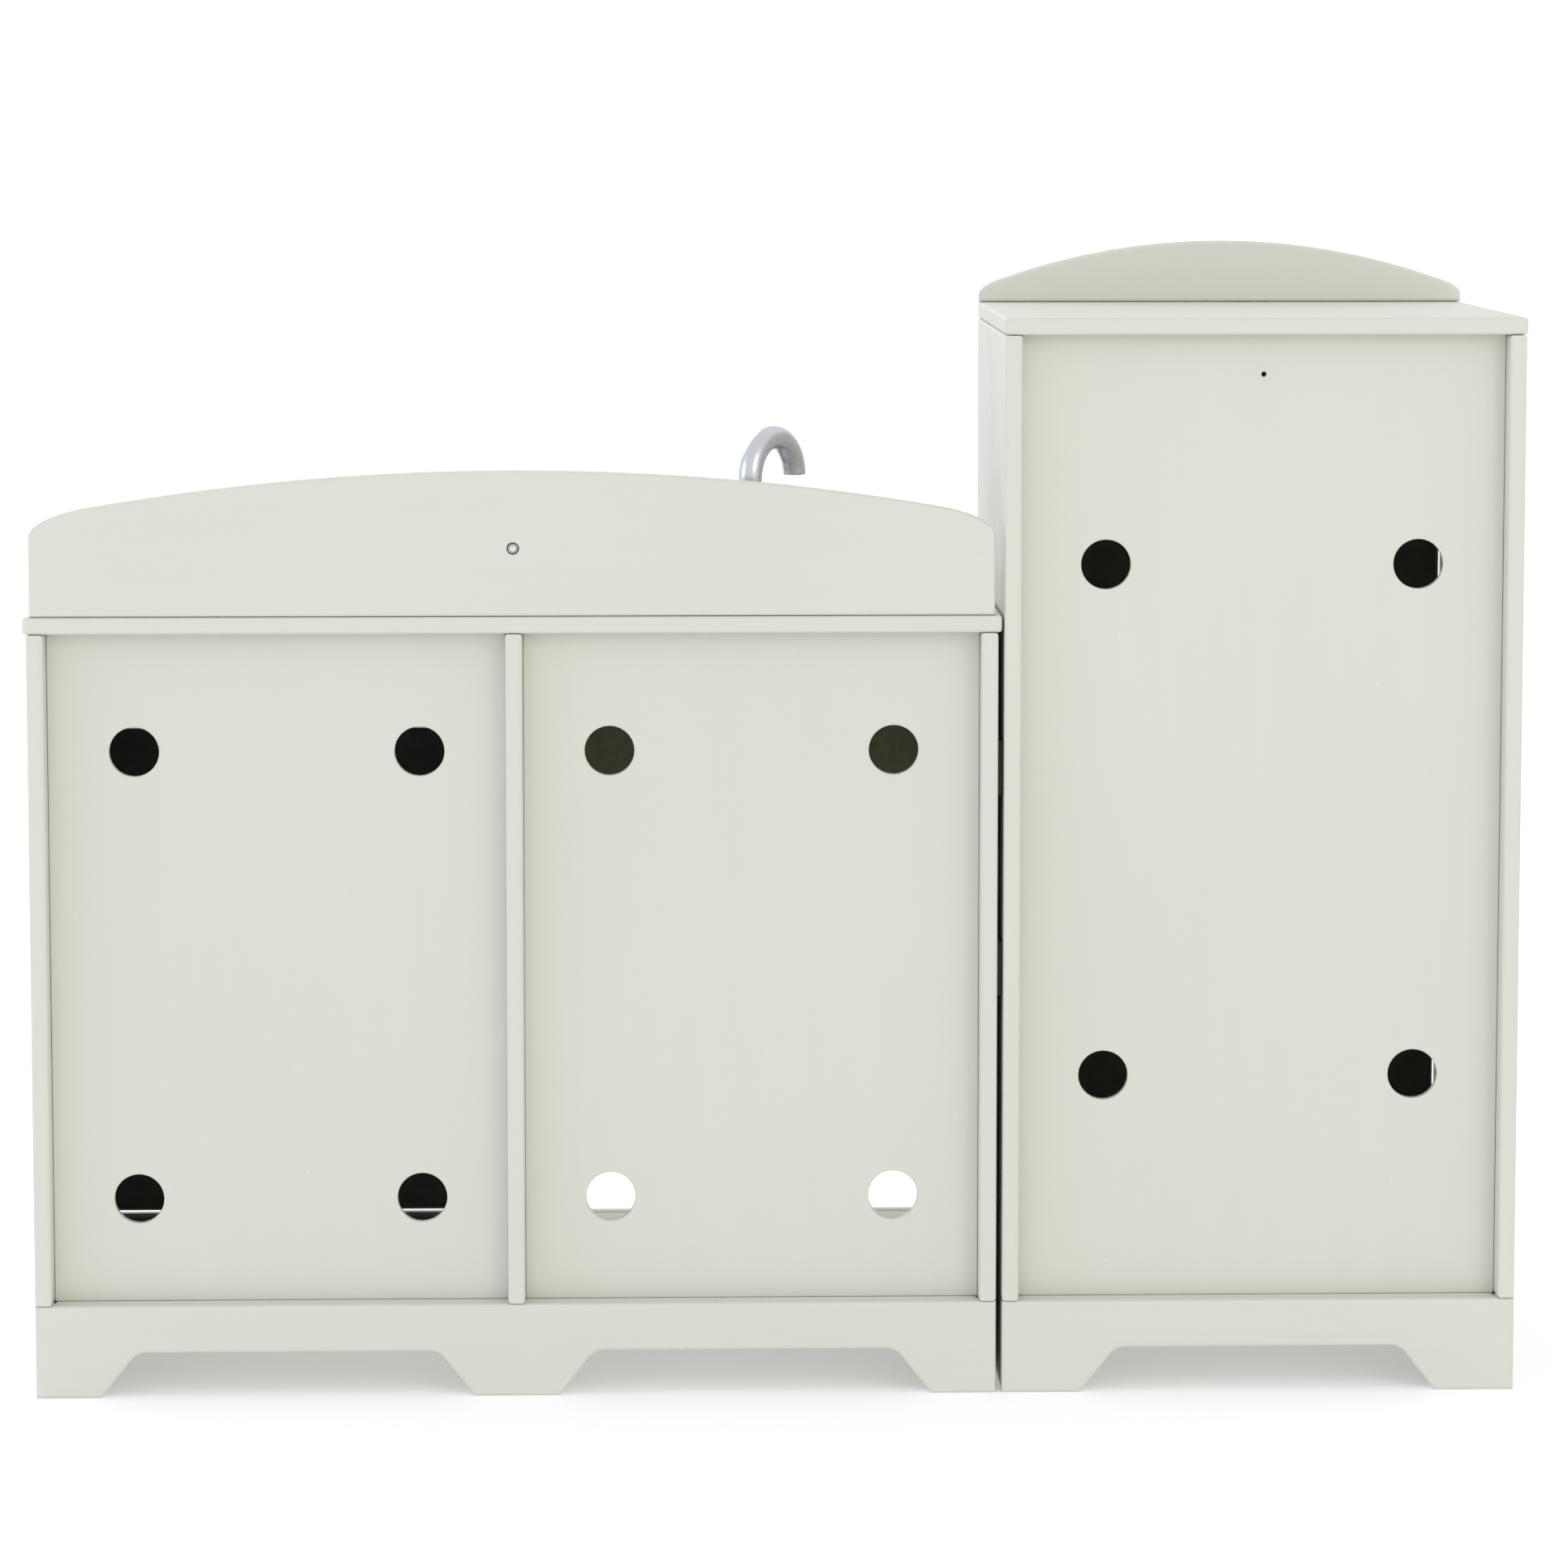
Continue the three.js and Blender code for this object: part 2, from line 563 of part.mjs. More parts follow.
function makeOvenRack() {
  const width = BAY_WIDTH - 2 * RACK_CLEARANCE;
  const outline = roundedRectangle(width, RACK_DEPTH, RACK_CORNER);
  const pitch = (RACK_DEPTH - RACK_RIM) / RACK_SLOTS;
  const slot = pitch - RACK_ROD;
  for (let i = 0; i < RACK_SLOTS; i += 1) {
    const y = (i - (RACK_SLOTS - 1) / 2) * pitch;
    const corners = rectangle(width - 2 * RACK_RIM, slot).getPoints();
    const offset = new THREE.Vector2(RACK_RIM - width / 2, y - slot / 2);
    outline.holes.push(new THREE.Path(corners.map((corner) => corner.add(offset))));
  }
  const rackY = REAR_PANEL_Y - RACK_DEPTH / 2 - RACK_SETBACK;
  const rack = plate(outline, RACK_THICKNESS, 0, COARSE_STEPS);
  put('oven_rack', rack, STEEL, STOVE_BAY_MIDDLE, rackY, RACK_HEIGHT);
  const runner = () => sideBoard(rectangle(RACK_DEPTH, RUNNER), RUNNER, SMALL_ARRIS);
  const y = rackY - RACK_DEPTH / 2;
  const z = RACK_HEIGHT - GAP - RUNNER;
  put('rack_runner_left', runner(), PAINT, STOVE_BAY_LEFT + GAP, y, z);
  const rightX = STOVE_BAY_LEFT + BAY_WIDTH - RUNNER - GAP;
  put('rack_runner_right', runner(), PAINT, rightX, y, z);
}

function makeHob() {
  const centreY = (REAR - BOARD + COUNTER_FRONT) / 2;
  const plateTop = COUNTER_TOP + GAP + HOB_THICKNESS;
  const hob = plate(roundedRectangle(HOB_WIDTH, HOB_DEPTH, HOB_CORNER), HOB_THICKNESS, 0, COARSE_STEPS);
  put('hob_plate', hob, DARK, STOVE_BAY_MIDDLE, centreY, COUNTER_TOP + GAP);
  for (const [depth, row] of [['front', -1], ['rear', 1]]) {
    for (const [hand, side] of [['left', -1], ['right', 1]]) {
      const radius = BURNER_RADII[row === side ? 0 : 1];
      const half = BURNER_HEIGHT / 2;
      const profile = [[0, 0], [radius, 0], [radius, half], [radius - 2, BURNER_HEIGHT], [0, BURNER_HEIGHT]];
      const x = STOVE_BAY_MIDDLE + side * BURNER_SPACING_X / 2;
      const y = centreY + row * BURNER_SPACING_Y / 2;
      put(`burner_${depth}_${hand}`, turned(profile, 24), STEEL, x, y, plateTop + GAP);
    }
  }
}

function makeBasin() {
  const outerWidth = SINK_WIDTH - 2 * BASIN_CLEARANCE;
  const outerDepth = SINK_DEPTH - 2 * BASIN_CLEARANCE;
  const corner = SINK_CORNER - BASIN_CLEARANCE;
  const rimTop = BASIN_HEIGHT + BASIN_WALL;
  const bowl = plate(roundedRectangle(outerWidth, outerDepth, corner), BASIN_HEIGHT + 1, 0, 3);
  const rimWidth = SINK_WIDTH + 2 * BASIN_RIM;
  const rimDepth = SINK_DEPTH + 2 * BASIN_RIM;
  const rimOutline = roundedRectangle(rimWidth, rimDepth, BASIN_RIM_CORNER);
  const rim = plate(rimOutline, BASIN_WALL, 0, COARSE_STEPS).translate(0, 0, BASIN_HEIGHT);
  const insideWidth = outerWidth - 2 * BASIN_WALL;
  const insideDepth = outerDepth - 2 * BASIN_WALL;
  const insideOutline = roundedRectangle(insideWidth, insideDepth, corner - BASIN_WALL);
  const inside = plate(insideOutline, rimTop, 0, 3).translate(0, 0, BASIN_WALL);
  const basin = cut(join(bowl, rim), inside);
  const z = COUNTER_TOP + GAP - BASIN_HEIGHT;
  put('sink_basin', basin, SATIN, SINK_BAY_MIDDLE, SINK_CENTRE_Y, z);
}

// The spout: a tube straight up, then over in a half circle to its open end.
function makeFaucet() {
  const base = new THREE.Shape();
  const bore = SPOUT_RADIUS + GAP;
  base.moveTo(bore, 0);
  base.lineTo(COLLAR_RADIUS, 0);
  base.lineTo(COLLAR_RADIUS, COLLAR_HEIGHT / 3);
  base.lineTo(COLLAR_RADIUS - 2.5, COLLAR_HEIGHT);
  base.lineTo(bore, COLLAR_HEIGHT);
  base.lineTo(bore, 0);
  const ring = new THREE.LatheGeometry(base.getPoints(), 20).rotateX(Math.PI / 2);
  put('faucet_base', ring, SATIN, SINK_BAY_MIDDLE, SPOUT_Y, COUNTER_TOP + GAP);

  const foot = COUNTER_TOP + 2 * GAP;
  const bendHeight = SPOUT_CROWN - SPOUT_BEND - foot;
  const path = new THREE.CurvePath();
  const turn = (angle) => new THREE.Vector3(
    0,
    -SPOUT_BEND * (1 - Math.cos(angle)),
    bendHeight + SPOUT_BEND * Math.sin(angle),
  );
  path.add(new THREE.LineCurve3(new THREE.Vector3(0, 0, 0), turn(0)));
  const bend = Array.from({ length: 13 }, (_, i) => turn(i * Math.PI / 12));
  path.add(new THREE.CatmullRomCurve3(bend));
  const section = new THREE.Shape();
  section.absarc(0, 0, SPOUT_RADIUS, 0, 2 * Math.PI);
  const tube = new THREE.ExtrudeGeometry(section, {
    extrudePath: path,
    steps: 30,
    curveSegments: 7,
    bevelEnabled: false,
  });
  const spout = put('faucet_spout', tube, SATIN, SINK_BAY_MIDDLE, SPOUT_Y, foot);
  spout.rotation.z = -SPOUT_TURN;
}

// A tap: a turned stem with a cross handle on top.
function tapGeometry() {
  const foot = [[0, 0], [12, 0], [12, 2.5], [7, 6], [5, 10]];
  const head = [[5, 17], [7.5, 19], [7.5, 25], [5, 27], [0, 27]];
  const arms = [0, Math.PI / 2].map((angle) => {
    const arm = bar(TAP_ARM_RADIUS, TAP_ARM_LENGTH, X_AXIS, 8);
    return arm.translate(-TAP_ARM_LENGTH / 2, 0, TAP_ARM_HEIGHT).rotateZ(angle);
  });
  return join(turned([...foot, ...head], 16), ...arms);
}

function makeTaps() {
  for (const [hand, side] of [['left', -1], ['right', 1]]) {
    const x = SINK_BAY_MIDDLE + side * TAP_SPACING / 2;
    const tap = put(`tap_${hand}`, tapGeometry(), SATIN, x, SPOUT_Y, COUNTER_TOP + GAP);
    tap.rotation.z = Math.PI / 4;
  }
}

// The clock: a bolt through the backsplash, and two hands that turn on it.
function clockHand({ length, halfWidth }) {
  const spread = THREE.MathUtils.degToRad(24);
  const outline = new THREE.Shape();
  outline.absarc(0, 0, HAND_HUB, Math.PI / 2 - spread, Math.PI / 2 + spread, true);
  outline.lineTo(-halfWidth, length);
  outline.lineTo(halfWidth, length);
  outline.holes.push(roundHole(0, 0, CLOCK_SHAFT_RADIUS + GAP));
  return facingBoard(outline, HAND_THICKNESS, 0);
}

function makeClock() {
  const splashFront = REAR - BOARD;
  const hourY = splashFront - HAND_CLEARANCE - HAND_THICKNESS;
  const minuteY = hourY - HANDS_APART - HAND_THICKNESS;
  const hands = [['clock_hour_hand', HOUR_HAND, hourY], ['clock_minute_hand', MINUTE_HAND, minuteY]];
  for (const [name, shape, y] of hands) {
    const hand = put(name, clockHand(shape), DARK, KITCHEN_MIDDLE, y, CLOCK_HEIGHT);
    hand.rotation.y = THREE.MathUtils.degToRad(shape.turn);
  }
  const headY = minuteY - BOLT_CLEARANCE;
  const tail = REAR - GAP - headY;
  const shaft = CLOCK_SHAFT_RADIUS;
  const profile = [
    [0, -2.4], [3, -2.4], [4.4, -1.2], [4.4, 0], [shaft, 0], [shaft, tail - 1.4],
    [NUT_RADIUS, tail - 1.4], [NUT_RADIUS, tail - 0.5], [NUT_RADIUS - 0.6, tail], [0, tail],
  ];
  const bolt = turned(profile, 18).rotateX(-Math.PI / 2);
  put('clock_bolt', bolt, STEEL, KITCHEN_MIDDLE, headY, CLOCK_HEIGHT);
}

// The fridge-freezer unit

function makeFridgePlinth() {
  const feet = [[0, FRIDGE_FOOT_WIDTH], [FRIDGE_WIDTH - FRIDGE_FOOT_WIDTH, FRIDGE_WIDTH]];
  const rail = () => facingBoard(plinthOutline(FRIDGE_WIDTH, feet), BOARD, ARRIS, 4);
  put('fridge_plinth_rear', rail(), PAINT, LEFT, REAR - BOARD, 0);
  const socket = bar(PIN_RADIUS + GAP, PIN_DEPTH + GAP + 1);
  socket.translate(HINGE_X - LEFT, HINGE_Y - FRONT, PLINTH_TOP - PIN_DEPTH - GAP);
  put('fridge_plinth_front', cut(rail(), socket), PAINT, LEFT, FRONT, 0);
  makePlinthInside('fridge', LEFT, FRIDGE_RIGHT);
}

function makeFridgeShell() {
  const height = FRIDGE_UNDERSIDE - GAP - PLINTH_TOP;
  const side = () => sideBoard(rectangle(DEPTH, height), BOARD);
  put('fridge_side_left', side(), PAINT, LEFT, FRONT, PLINTH_TOP);
  put('fridge_side_right', side(), PAINT, FRIDGE_RIGHT - BOARD, FRONT, PLINTH_TOP);
  const socket = bar(PIN_RADIUS + GAP, PIN_DEPTH + GAP + 1);
  socket.translate(HINGE_X - LEFT, HINGE_Y - FRONT, -1);
  const top = cut(plate(rectangle(FRIDGE_WIDTH, DEPTH), BOARD), socket);
  put('fridge_top', top, PAINT, LEFT, FRONT, FRIDGE_UNDERSIDE);
  const pediment = facingBoard(archedOutline(FRIDGE_WIDTH, PEDIMENT_ARCH), BOARD, ARRIS, CURVE_STEPS);
  put('fridge_pediment', pediment, PAINT, FRIDGE_MIDDLE, FRONT, FRIDGE_TOP + GAP);
  const heights = [FRIDGE_VENTS_LOW, FRIDGE_VENTS_HIGH];
  const screwHole = [[SCREW_HOLE_HEIGHT, SCREW_HOLE_RADIUS]];
  makeRearPanel(
    'fridge_rear_panel', FRIDGE_INSIDE_LEFT, FRIDGE_INSIDE_WIDTH, FRIDGE_UNDERSIDE,
    FRIDGE_VENT_SPACING, heights, screwHole,
  );
}

function makeFridgeShelves() {
  const width = FRIDGE_INSIDE_WIDTH - 2 * GAP;
  const left = FRIDGE_INSIDE_LEFT + GAP;
  const run = REAR_PANEL_Y - GAP - FRONT;
  const hole = bar(PIN_RADIUS + GAP, 2 * BOARD).translate(HINGE_X - left, HINGE_Y - FRONT, -BOARD / 2);
  const divider = cut(plate(rectangle(width, run), BOARD), hole);
  put('freezer_divider', divider, PAINT, left, FRONT, FREEZER_SHELF_TOP - BOARD);
  const shelfFront = FRONT + 2 * BOARD;
  const shelf = plate(rectangle(width, REAR_PANEL_Y - GAP - shelfFront), BOARD);
  put('fridge_shelf', shelf, PAINT, left, shelfFront, FRIDGE_SHELF_TOP - BOARD);
}

// A fridge door on its pins, with a shallow recessed panel in its face.
function makeFridgeDoor(name, low, high, handleName, handleHeight) {
  const length = FRIDGE_INSIDE_WIDTH - HINGE_INSET - DOOR_GAP;
  const height = high - low;
  const socket = bar(PIN_RADIUS + GAP, PIN_DEPTH + GAP + 1);
  const lowSocket = socket.clone().translate(0, 0, -1);
  const highSocket = socket.clone().translate(0, 0, height - PIN_DEPTH - GAP);
  const recessWidth = length - 2 * PANEL_BORDER;
  const recess = new THREE.BoxGeometry(recessWidth, 2 * PANEL_RECESS, height - 2 * PANEL_BORDER);
  recess.translate(length / 2, -BOARD / 2, height / 2);
  const door = cut(doorBoard(length, height), lowSocket, highSocket, recess);
  put(name, door, PAINT, HINGE_X, HINGE_Y, low);
  const handle = barHandle(FRIDGE_HANDLE_SPAN).rotateY(Math.PI / 2);
  put(handleName, handle, SATIN, HINGE_X + length - PANEL_BORDER / 2, FRONT, handleHeight);
}

function makeFridgeDoors() {
  const lowDoor = [PLINTH_TOP + SHELF_CLEARANCE, FREEZER_SHELF_TOP - BOARD - SHELF_CLEARANCE];
  const highDoor = [FREEZER_SHELF_TOP + SHELF_CLEARANCE, FRIDGE_UNDERSIDE - SHELF_CLEARANCE];
  makeFridgeDoor('fridge_door', ...lowDoor, 'fridge_handle', lowDoor[1] - FRIDGE_HANDLE_DROP);
  makeFridgeDoor('freezer_door', ...highDoor, 'freezer_handle', (highDoor[0] + highDoor[1]) / 2);
  const pin = (low, high) => bar(PIN_RADIUS, high - low, Z_AXIS, 16);
  const pins = [
    ['hinge_pin_bottom', PLINTH_TOP - PIN_DEPTH, lowDoor[0] + PIN_DEPTH],
    ['hinge_pin_middle', lowDoor[1] - PIN_DEPTH, highDoor[0] + PIN_DEPTH],
    ['hinge_pin_top', highDoor[1] - PIN_DEPTH, FRIDGE_UNDERSIDE + PIN_DEPTH],
  ];
  for (const [name, low, high] of pins) {
    put(name, pin(low, high), STEEL, HINGE_X, HINGE_Y, low);
  }
}

function makeSpacers() {
  for (const [place, low] of Object.entries(PAD_HEIGHTS)) {
    const pad = sideBoard(rectangle(PAD, PAD), UNIT_GAP - 2 * GAP, 0);
    put(`spacer_${place}`, pad, FELT, FRIDGE_RIGHT + GAP, REAR - PAD - PAD_SETBACK, low);
  }
}

makeKitchenPlinth();
makeKitchenUprights();
makeCountertop();
makeBacksplash();
makeKitchenRear();
makeFascia();
makeKnobs();
makeSinkApron();
makeOvenDoor();
makeOvenRack();
makeHob();
makeBasin();
makeFaucet();
makeTaps();
makeClock();
makeFridgePlinth();
makeFridgeShell();
makeFridgeShelves();
makeFridgeDoors();
makeSpacers();

export default kitchen;
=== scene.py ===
import math

import bmesh
import bpy
from mathutils import Matrix, Vector


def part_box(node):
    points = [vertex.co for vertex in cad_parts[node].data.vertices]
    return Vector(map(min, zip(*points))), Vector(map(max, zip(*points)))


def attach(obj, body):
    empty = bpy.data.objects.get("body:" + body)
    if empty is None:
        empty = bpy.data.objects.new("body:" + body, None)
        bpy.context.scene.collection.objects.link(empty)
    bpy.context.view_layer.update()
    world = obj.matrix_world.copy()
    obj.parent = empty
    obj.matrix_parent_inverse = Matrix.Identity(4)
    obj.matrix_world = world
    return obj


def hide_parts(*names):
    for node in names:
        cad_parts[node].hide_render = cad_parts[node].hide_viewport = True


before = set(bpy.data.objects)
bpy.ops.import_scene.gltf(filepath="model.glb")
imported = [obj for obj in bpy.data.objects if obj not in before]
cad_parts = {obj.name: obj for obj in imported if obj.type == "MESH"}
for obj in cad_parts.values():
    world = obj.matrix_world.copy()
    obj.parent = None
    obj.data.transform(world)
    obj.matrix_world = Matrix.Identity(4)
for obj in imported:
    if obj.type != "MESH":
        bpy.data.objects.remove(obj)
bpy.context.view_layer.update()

# The looks of a painted toy kitchen, in metres, in the frame of its CAD model.
# Small turned parts are drawn as (radius, height) points in millimetres and scaled into place.

MM = 0.001
X, Y, Z = Vector((1, 0, 0)), Vector((0, 1, 0)), Vector((0, 0, 1))
WHOLE_TURN = 2 * math.pi
QUARTER_TURN = math.pi / 2
SMOOTH_ANGLE = math.radians(35)
MERGE_DISTANCE = 1e-6
ON_AXIS = 1e-7
KNOBS = range(1, 5)


# ---------------------------------------------------------------- camera, light and floor

# The view is of the rear. The camera is pitched a little down, and a small lens shift does the rest.
CAMERA_PLACE = Vector((0.0748, 3.453, 0.8972))
CAMERA_PITCH = 0.0903
CAMERA_YAW = 0.0245
CAMERA_LENS = 109.36
CAMERA_SENSOR = 36.0
CAMERA_SHIFT = -0.15
CAMERA_CLIP = (0.05, 300.0)

SKY_COLOUR = (0.975, 0.985, 1.0, 1.0)
SKY_STRENGTH = 1.06
WARM_LIGHT = (1.0, 0.975, 0.92)
COOL_LIGHT = (0.50, 0.66, 1.0)
# name, place, aim, size, power and colour
LIGHTS = [
    ("key", (-3.0, 4.2, 2.6), (0.0, 0.0, 0.4), 2.4, 36.0, WARM_LIGHT),
    ("front_key", (1.8, -3.6, 2.4), (0.0, 0.0, 0.4), 2.0, 36.0, WARM_LIGHT),
    ("cool_fill", (4.2, 1.0, 1.6), (0.0, 0.0, 0.5), 2.0, 40.0, COOL_LIGHT),
]

FLOOR_SIZE = 120.0
FLOOR_COLOUR = (0.72, 0.72, 0.72)
FLOOR_ROUGHNESS = 0.8
FLOOR_GLOW = 0.30


def make_camera():
    data = bpy.data.cameras.new("camera")
    data.lens = CAMERA_LENS
    data.sensor_width = CAMERA_SENSOR
    data.shift_y = CAMERA_SHIFT
    data.clip_start, data.clip_end = CAMERA_CLIP
    camera = bpy.data.objects.new("camera", data)
    camera.location = CAMERA_PLACE
    camera.rotation_euler = (QUARTER_TURN - CAMERA_PITCH, 0.0, math.pi - CAMERA_YAW)
    bpy.context.scene.collection.objects.link(camera)
    bpy.context.scene.camera = camera


def make_light(name, place, aim, size, power, colour):
    data = bpy.data.lights.new(name, "AREA")
    data.shape = "DISK"
    data.size = size
    data.energy = power
    data.color = colour
    light = bpy.data.objects.new(name, data)
    light.location = place
    light.rotation_euler = (Vector(aim) - Vector(place)).to_track_quat("-Z", "Y").to_euler()
    bpy.context.scene.collection.objects.link(light)


def make_studio():
    """A near-white sky for soft light all round, and three large disks."""
    world = bpy.data.worlds.new("studio")
    bpy.context.scene.world = world
    world.use_nodes = True
    background = world.node_tree.nodes["Background"]
    background.inputs["Color"].default_value = SKY_COLOUR
    background.inputs["Strength"].default_value = SKY_STRENGTH
    bpy.context.scene.view_settings.view_transform = "Standard"
    bpy.context.scene.view_settings.look = "None"
    for light in LIGHTS:
        make_light(*light)


def make_floor():
    """A pale floor, with a faint glow of its own that keeps it near white."""
    mesh = bpy.data.meshes.new("floor")
    half = FLOOR_SIZE / 2
    corners = [(-half, -half, 0), (half, -half, 0), (half, half, 0), (-half, half, 0)]
    mesh.from_pydata(corners, [], [(0, 1, 2, 3)])
    floor = bpy.data.objects.new("floor", mesh)
    bpy.context.scene.collection.objects.link(floor)
    surface = Surface("floor_paint")
    surface.set(base=FLOOR_COLOUR, roughness=FLOOR_ROUGHNESS)
    surface.shader.inputs["Emission Color"].default_value = (1.0, 1.0, 1.0, 1.0)
    surface.shader.inputs["Emission Strength"].default_value = FLOOR_GLOW
    mesh.materials.append(surface.material)


# ---------------------------------------------------------------- materials

# The colour sockets of a mix node, by number because several share a name.
MIX_FIRST, MIX_SECOND, MIX_RESULT = 6, 7, 2
BEVEL_SAMPLES = 4
# How square to its face a rounded normal is on the flat, and on a worn edge.
FLAT_FACING, EDGE_FACING = 0.995, 0.80
# The parts of a noise's range that a pattern is drawn from.
WIDE, NARROW = (0.3, 0.7), (0.35, 0.65)


class Surface:
    """A node material about one Principled shader, with patterns in the object's own coordinates."""

    def __init__(self, name):
        self.material = bpy.data.materials.new(name)
        self.material.use_nodes = True
        self.tree = self.material.node_tree
        self.shader = self.tree.nodes["Principled BSDF"]
        self.place = self.add("ShaderNodeTexCoord").outputs["Object"]

    def add(self, kind, **settings):
        node = self.tree.nodes.new(kind)
        for key, value in settings.items():
            setattr(node, key, value)
        return node

    def feed(self, socket, value):
        """Links a socket to the value given, or sets it to a plain value."""
        if isinstance(value, bpy.types.NodeSocket):
            self.tree.links.new(value, socket)
        elif isinstance(value, tuple) and len(value) == 3 and socket.type == "RGBA":
            socket.default_value = (*value, 1.0)
        else:
            socket.default_value = value

    def set(self, base=None, roughness=None, metallic=None, normal=None):
        named = {"Base Color": base, "Roughness": roughness, "Metallic": metallic, "Normal": normal}
        for name, value in named.items():
            if value is not None:
                self.feed(self.shader.inputs[name], value)

    def math(self, operation, a, b):
        node = self.add("ShaderNodeMath", operation=operation)
        self.feed(node.inputs[0], a)
        self.feed(node.inputs[1], b)
        return node.outputs[0]

    def vector(self, operation, a, b=(0.0, 0.0, 0.0)):
        node = self.add("ShaderNodeVectorMath", operation=operation)
        self.feed(node.inputs[0], a)
        self.feed(node.inputs[1], b)
        return node.outputs["Value"] if operation == "DOT_PRODUCT" else node.outputs["Vector"]

    def stretched(self, scale):
        return self.vector("MULTIPLY", self.place, scale)

    def noise(self, scale, detail, place=None):
        node = self.add("ShaderNodeTexNoise")
        self.feed(node.inputs["Vector"], place or self.place)
        self.feed(node.inputs["Scale"], scale)
        self.feed(node.inputs["Detail"], detail)
        return node.outputs["Fac"]

    def spread(self, value, low, high, to_low=0.0, to_high=1.0):
        """A value's range from low to high, mapped to the range from to_low to to_high."""
        node = self.add("ShaderNodeMapRange")
        sockets = ("Value", "From Min", "From Max", "To Min", "To Max")
        for name, number in zip(sockets, (value, low, high, to_low, to_high)):
            self.feed(node.inputs[name], number)
        return node.outputs["Result"]

    def mix(self, amount, first, second):
        node = self.add("ShaderNodeMix", data_type="RGBA")
        self.feed(node.inputs["Factor"], amount)
        self.feed(node.inputs[MIX_FIRST], first)
        self.feed(node.inputs[MIX_SECOND], second)
        return node.outputs[MIX_RESULT]

    def bump(self, height, strength, distance, normal):
        node = self.add("ShaderNodeBump")
        self.feed(node.inputs["Height"], height)
        self.feed(node.inputs["Strength"], strength)
        self.feed(node.inputs["Distance"], distance)
        self.feed(node.inputs["Normal"], normal)
        return node.outputs["Normal"]

    def soft_edge(self, radius):
        """The normal with its edges rounded, and how near a point is to an edge, from 0 to 1."""
        bevel = self.add("ShaderNodeBevel", samples=BEVEL_SAMPLES)
        self.feed(bevel.inputs["Radius"], radius)
        rounded = bevel.outputs["Normal"]
        facing = self.vector("DOT_PRODUCT", rounded, self.add("ShaderNodeNewGeometry").outputs["Normal"])
        return rounded, self.spread(facing, FLAT_FACING, EDGE_FACING)

    def inside(self, low, high):
        """1 inside the box from low to high, and 0 outside it."""
        middle_point = (Vector(low) + Vector(high)) / 2
        half = (Vector(high) - Vector(low)) / 2
        offset = self.vector("SUBTRACT", self.place, tuple(middle_point))
        beyond = self.vector("SUBTRACT", self.vector("ABSOLUTE", offset), tuple(half))
        split = self.add("ShaderNodeSeparateXYZ")
        self.feed(split.inputs[0], beyond)
        most = self.math("MAXIMUM", split.outputs[0], split.outputs[1])
        return self.math("LESS_THAN", self.math("MAXIMUM", most, split.outputs[2]), 0.0)


def shade(colour, factor):
    return tuple(channel * factor for channel in colour)


CREAM = (0.618, 0.611, 0.543)
WORN_CREAM = (0.520, 0.500, 0.410)
# A painted shade: the charcoal that darkens the inside of the closed oven, which lies in shade.
OVEN_SHADE = (0.070, 0.070, 0.060)
# A painted shade: the dark olive on the rear face of the sink apron, where the sink bay lies in deep shade.
APRON_SHADE = (0.165, 0.162, 0.108)
# A grain runs along the axis with the small number.
UPRIGHT_GRAIN, LONG_GRAIN = (1.0, 1.0, 0.06), (0.06, 1.0, 1.0)
NO_GRAIN = (1.0, 1.0, 1.0)


def paint(name, grain, oven_shade_box=None, apron_shade_box=None):
    """Satin cream paint on smooth board, with a charcoal painted shade inside the oven's box and a dark olive
    painted shade inside the apron's box, where these are given.
    """
    surface = Surface(name)
    clouds = surface.noise(scale=3.2, detail=3.0)
    streaks = surface.noise(scale=55.0, detail=3.0, place=surface.stretched(grain))
    tone = surface.mix(surface.spread(clouds, *WIDE), shade(CREAM, 0.982), shade(CREAM, 1.012))
    tone = surface.mix(surface.spread(streaks, *NARROW, to_high=0.35), tone, shade(CREAM, 0.965))
    speck = surface.spread(surface.noise(scale=260.0, detail=1.0), 0.800, 0.835)
    tone = surface.mix(surface.math("MULTIPLY", speck, 0.5), tone, shade(CREAM, 1.15))
    rounded, edge = surface.soft_edge(1.2 * MM)
    rubbed = surface.spread(surface.noise(scale=38.0, detail=4.0), 0.46, 0.68, 0.10, 0.62)
    tone = surface.mix(surface.math("MULTIPLY", edge, rubbed), tone, WORN_CREAM)
    # Painted shade: charcoal, mottled at random, inside the oven.
    if oven_shade_box:
        oven_shade_tone = surface.mix(surface.spread(clouds, *WIDE), OVEN_SHADE, shade(OVEN_SHADE, 1.5))
        tone = surface.mix(surface.inside(*oven_shade_box), tone, oven_shade_tone)
    # Painted shade: dark olive with a fine mottle on the rear face of the sink apron.
    if apron_shade_box:
        apron_shade_mottle = surface.spread(surface.noise(scale=130.0, detail=4.0), *WIDE)
        apron_shade_tone = surface.mix(apron_shade_mottle, shade(APRON_SHADE, 0.85), shade(APRON_SHADE, 1.2))
        tone = surface.mix(surface.inside(*apron_shade_box), tone, apron_shade_tone)
    waves = surface.noise(scale=14.0, detail=1.0)
    peel = surface.noise(scale=620.0, detail=2.0)
    normal = surface.bump(waves, strength=0.10, distance=0.6 * MM, normal=rounded)
    normal = surface.bump(peel, strength=0.10, distance=0.12 * MM, normal=normal)
    roughness = surface.spread(surface.noise(scale=24.0, detail=3.0), *WIDE, 0.40, 0.52)
    surface.set(base=tone, roughness=roughness, normal=normal)
    return surface.material


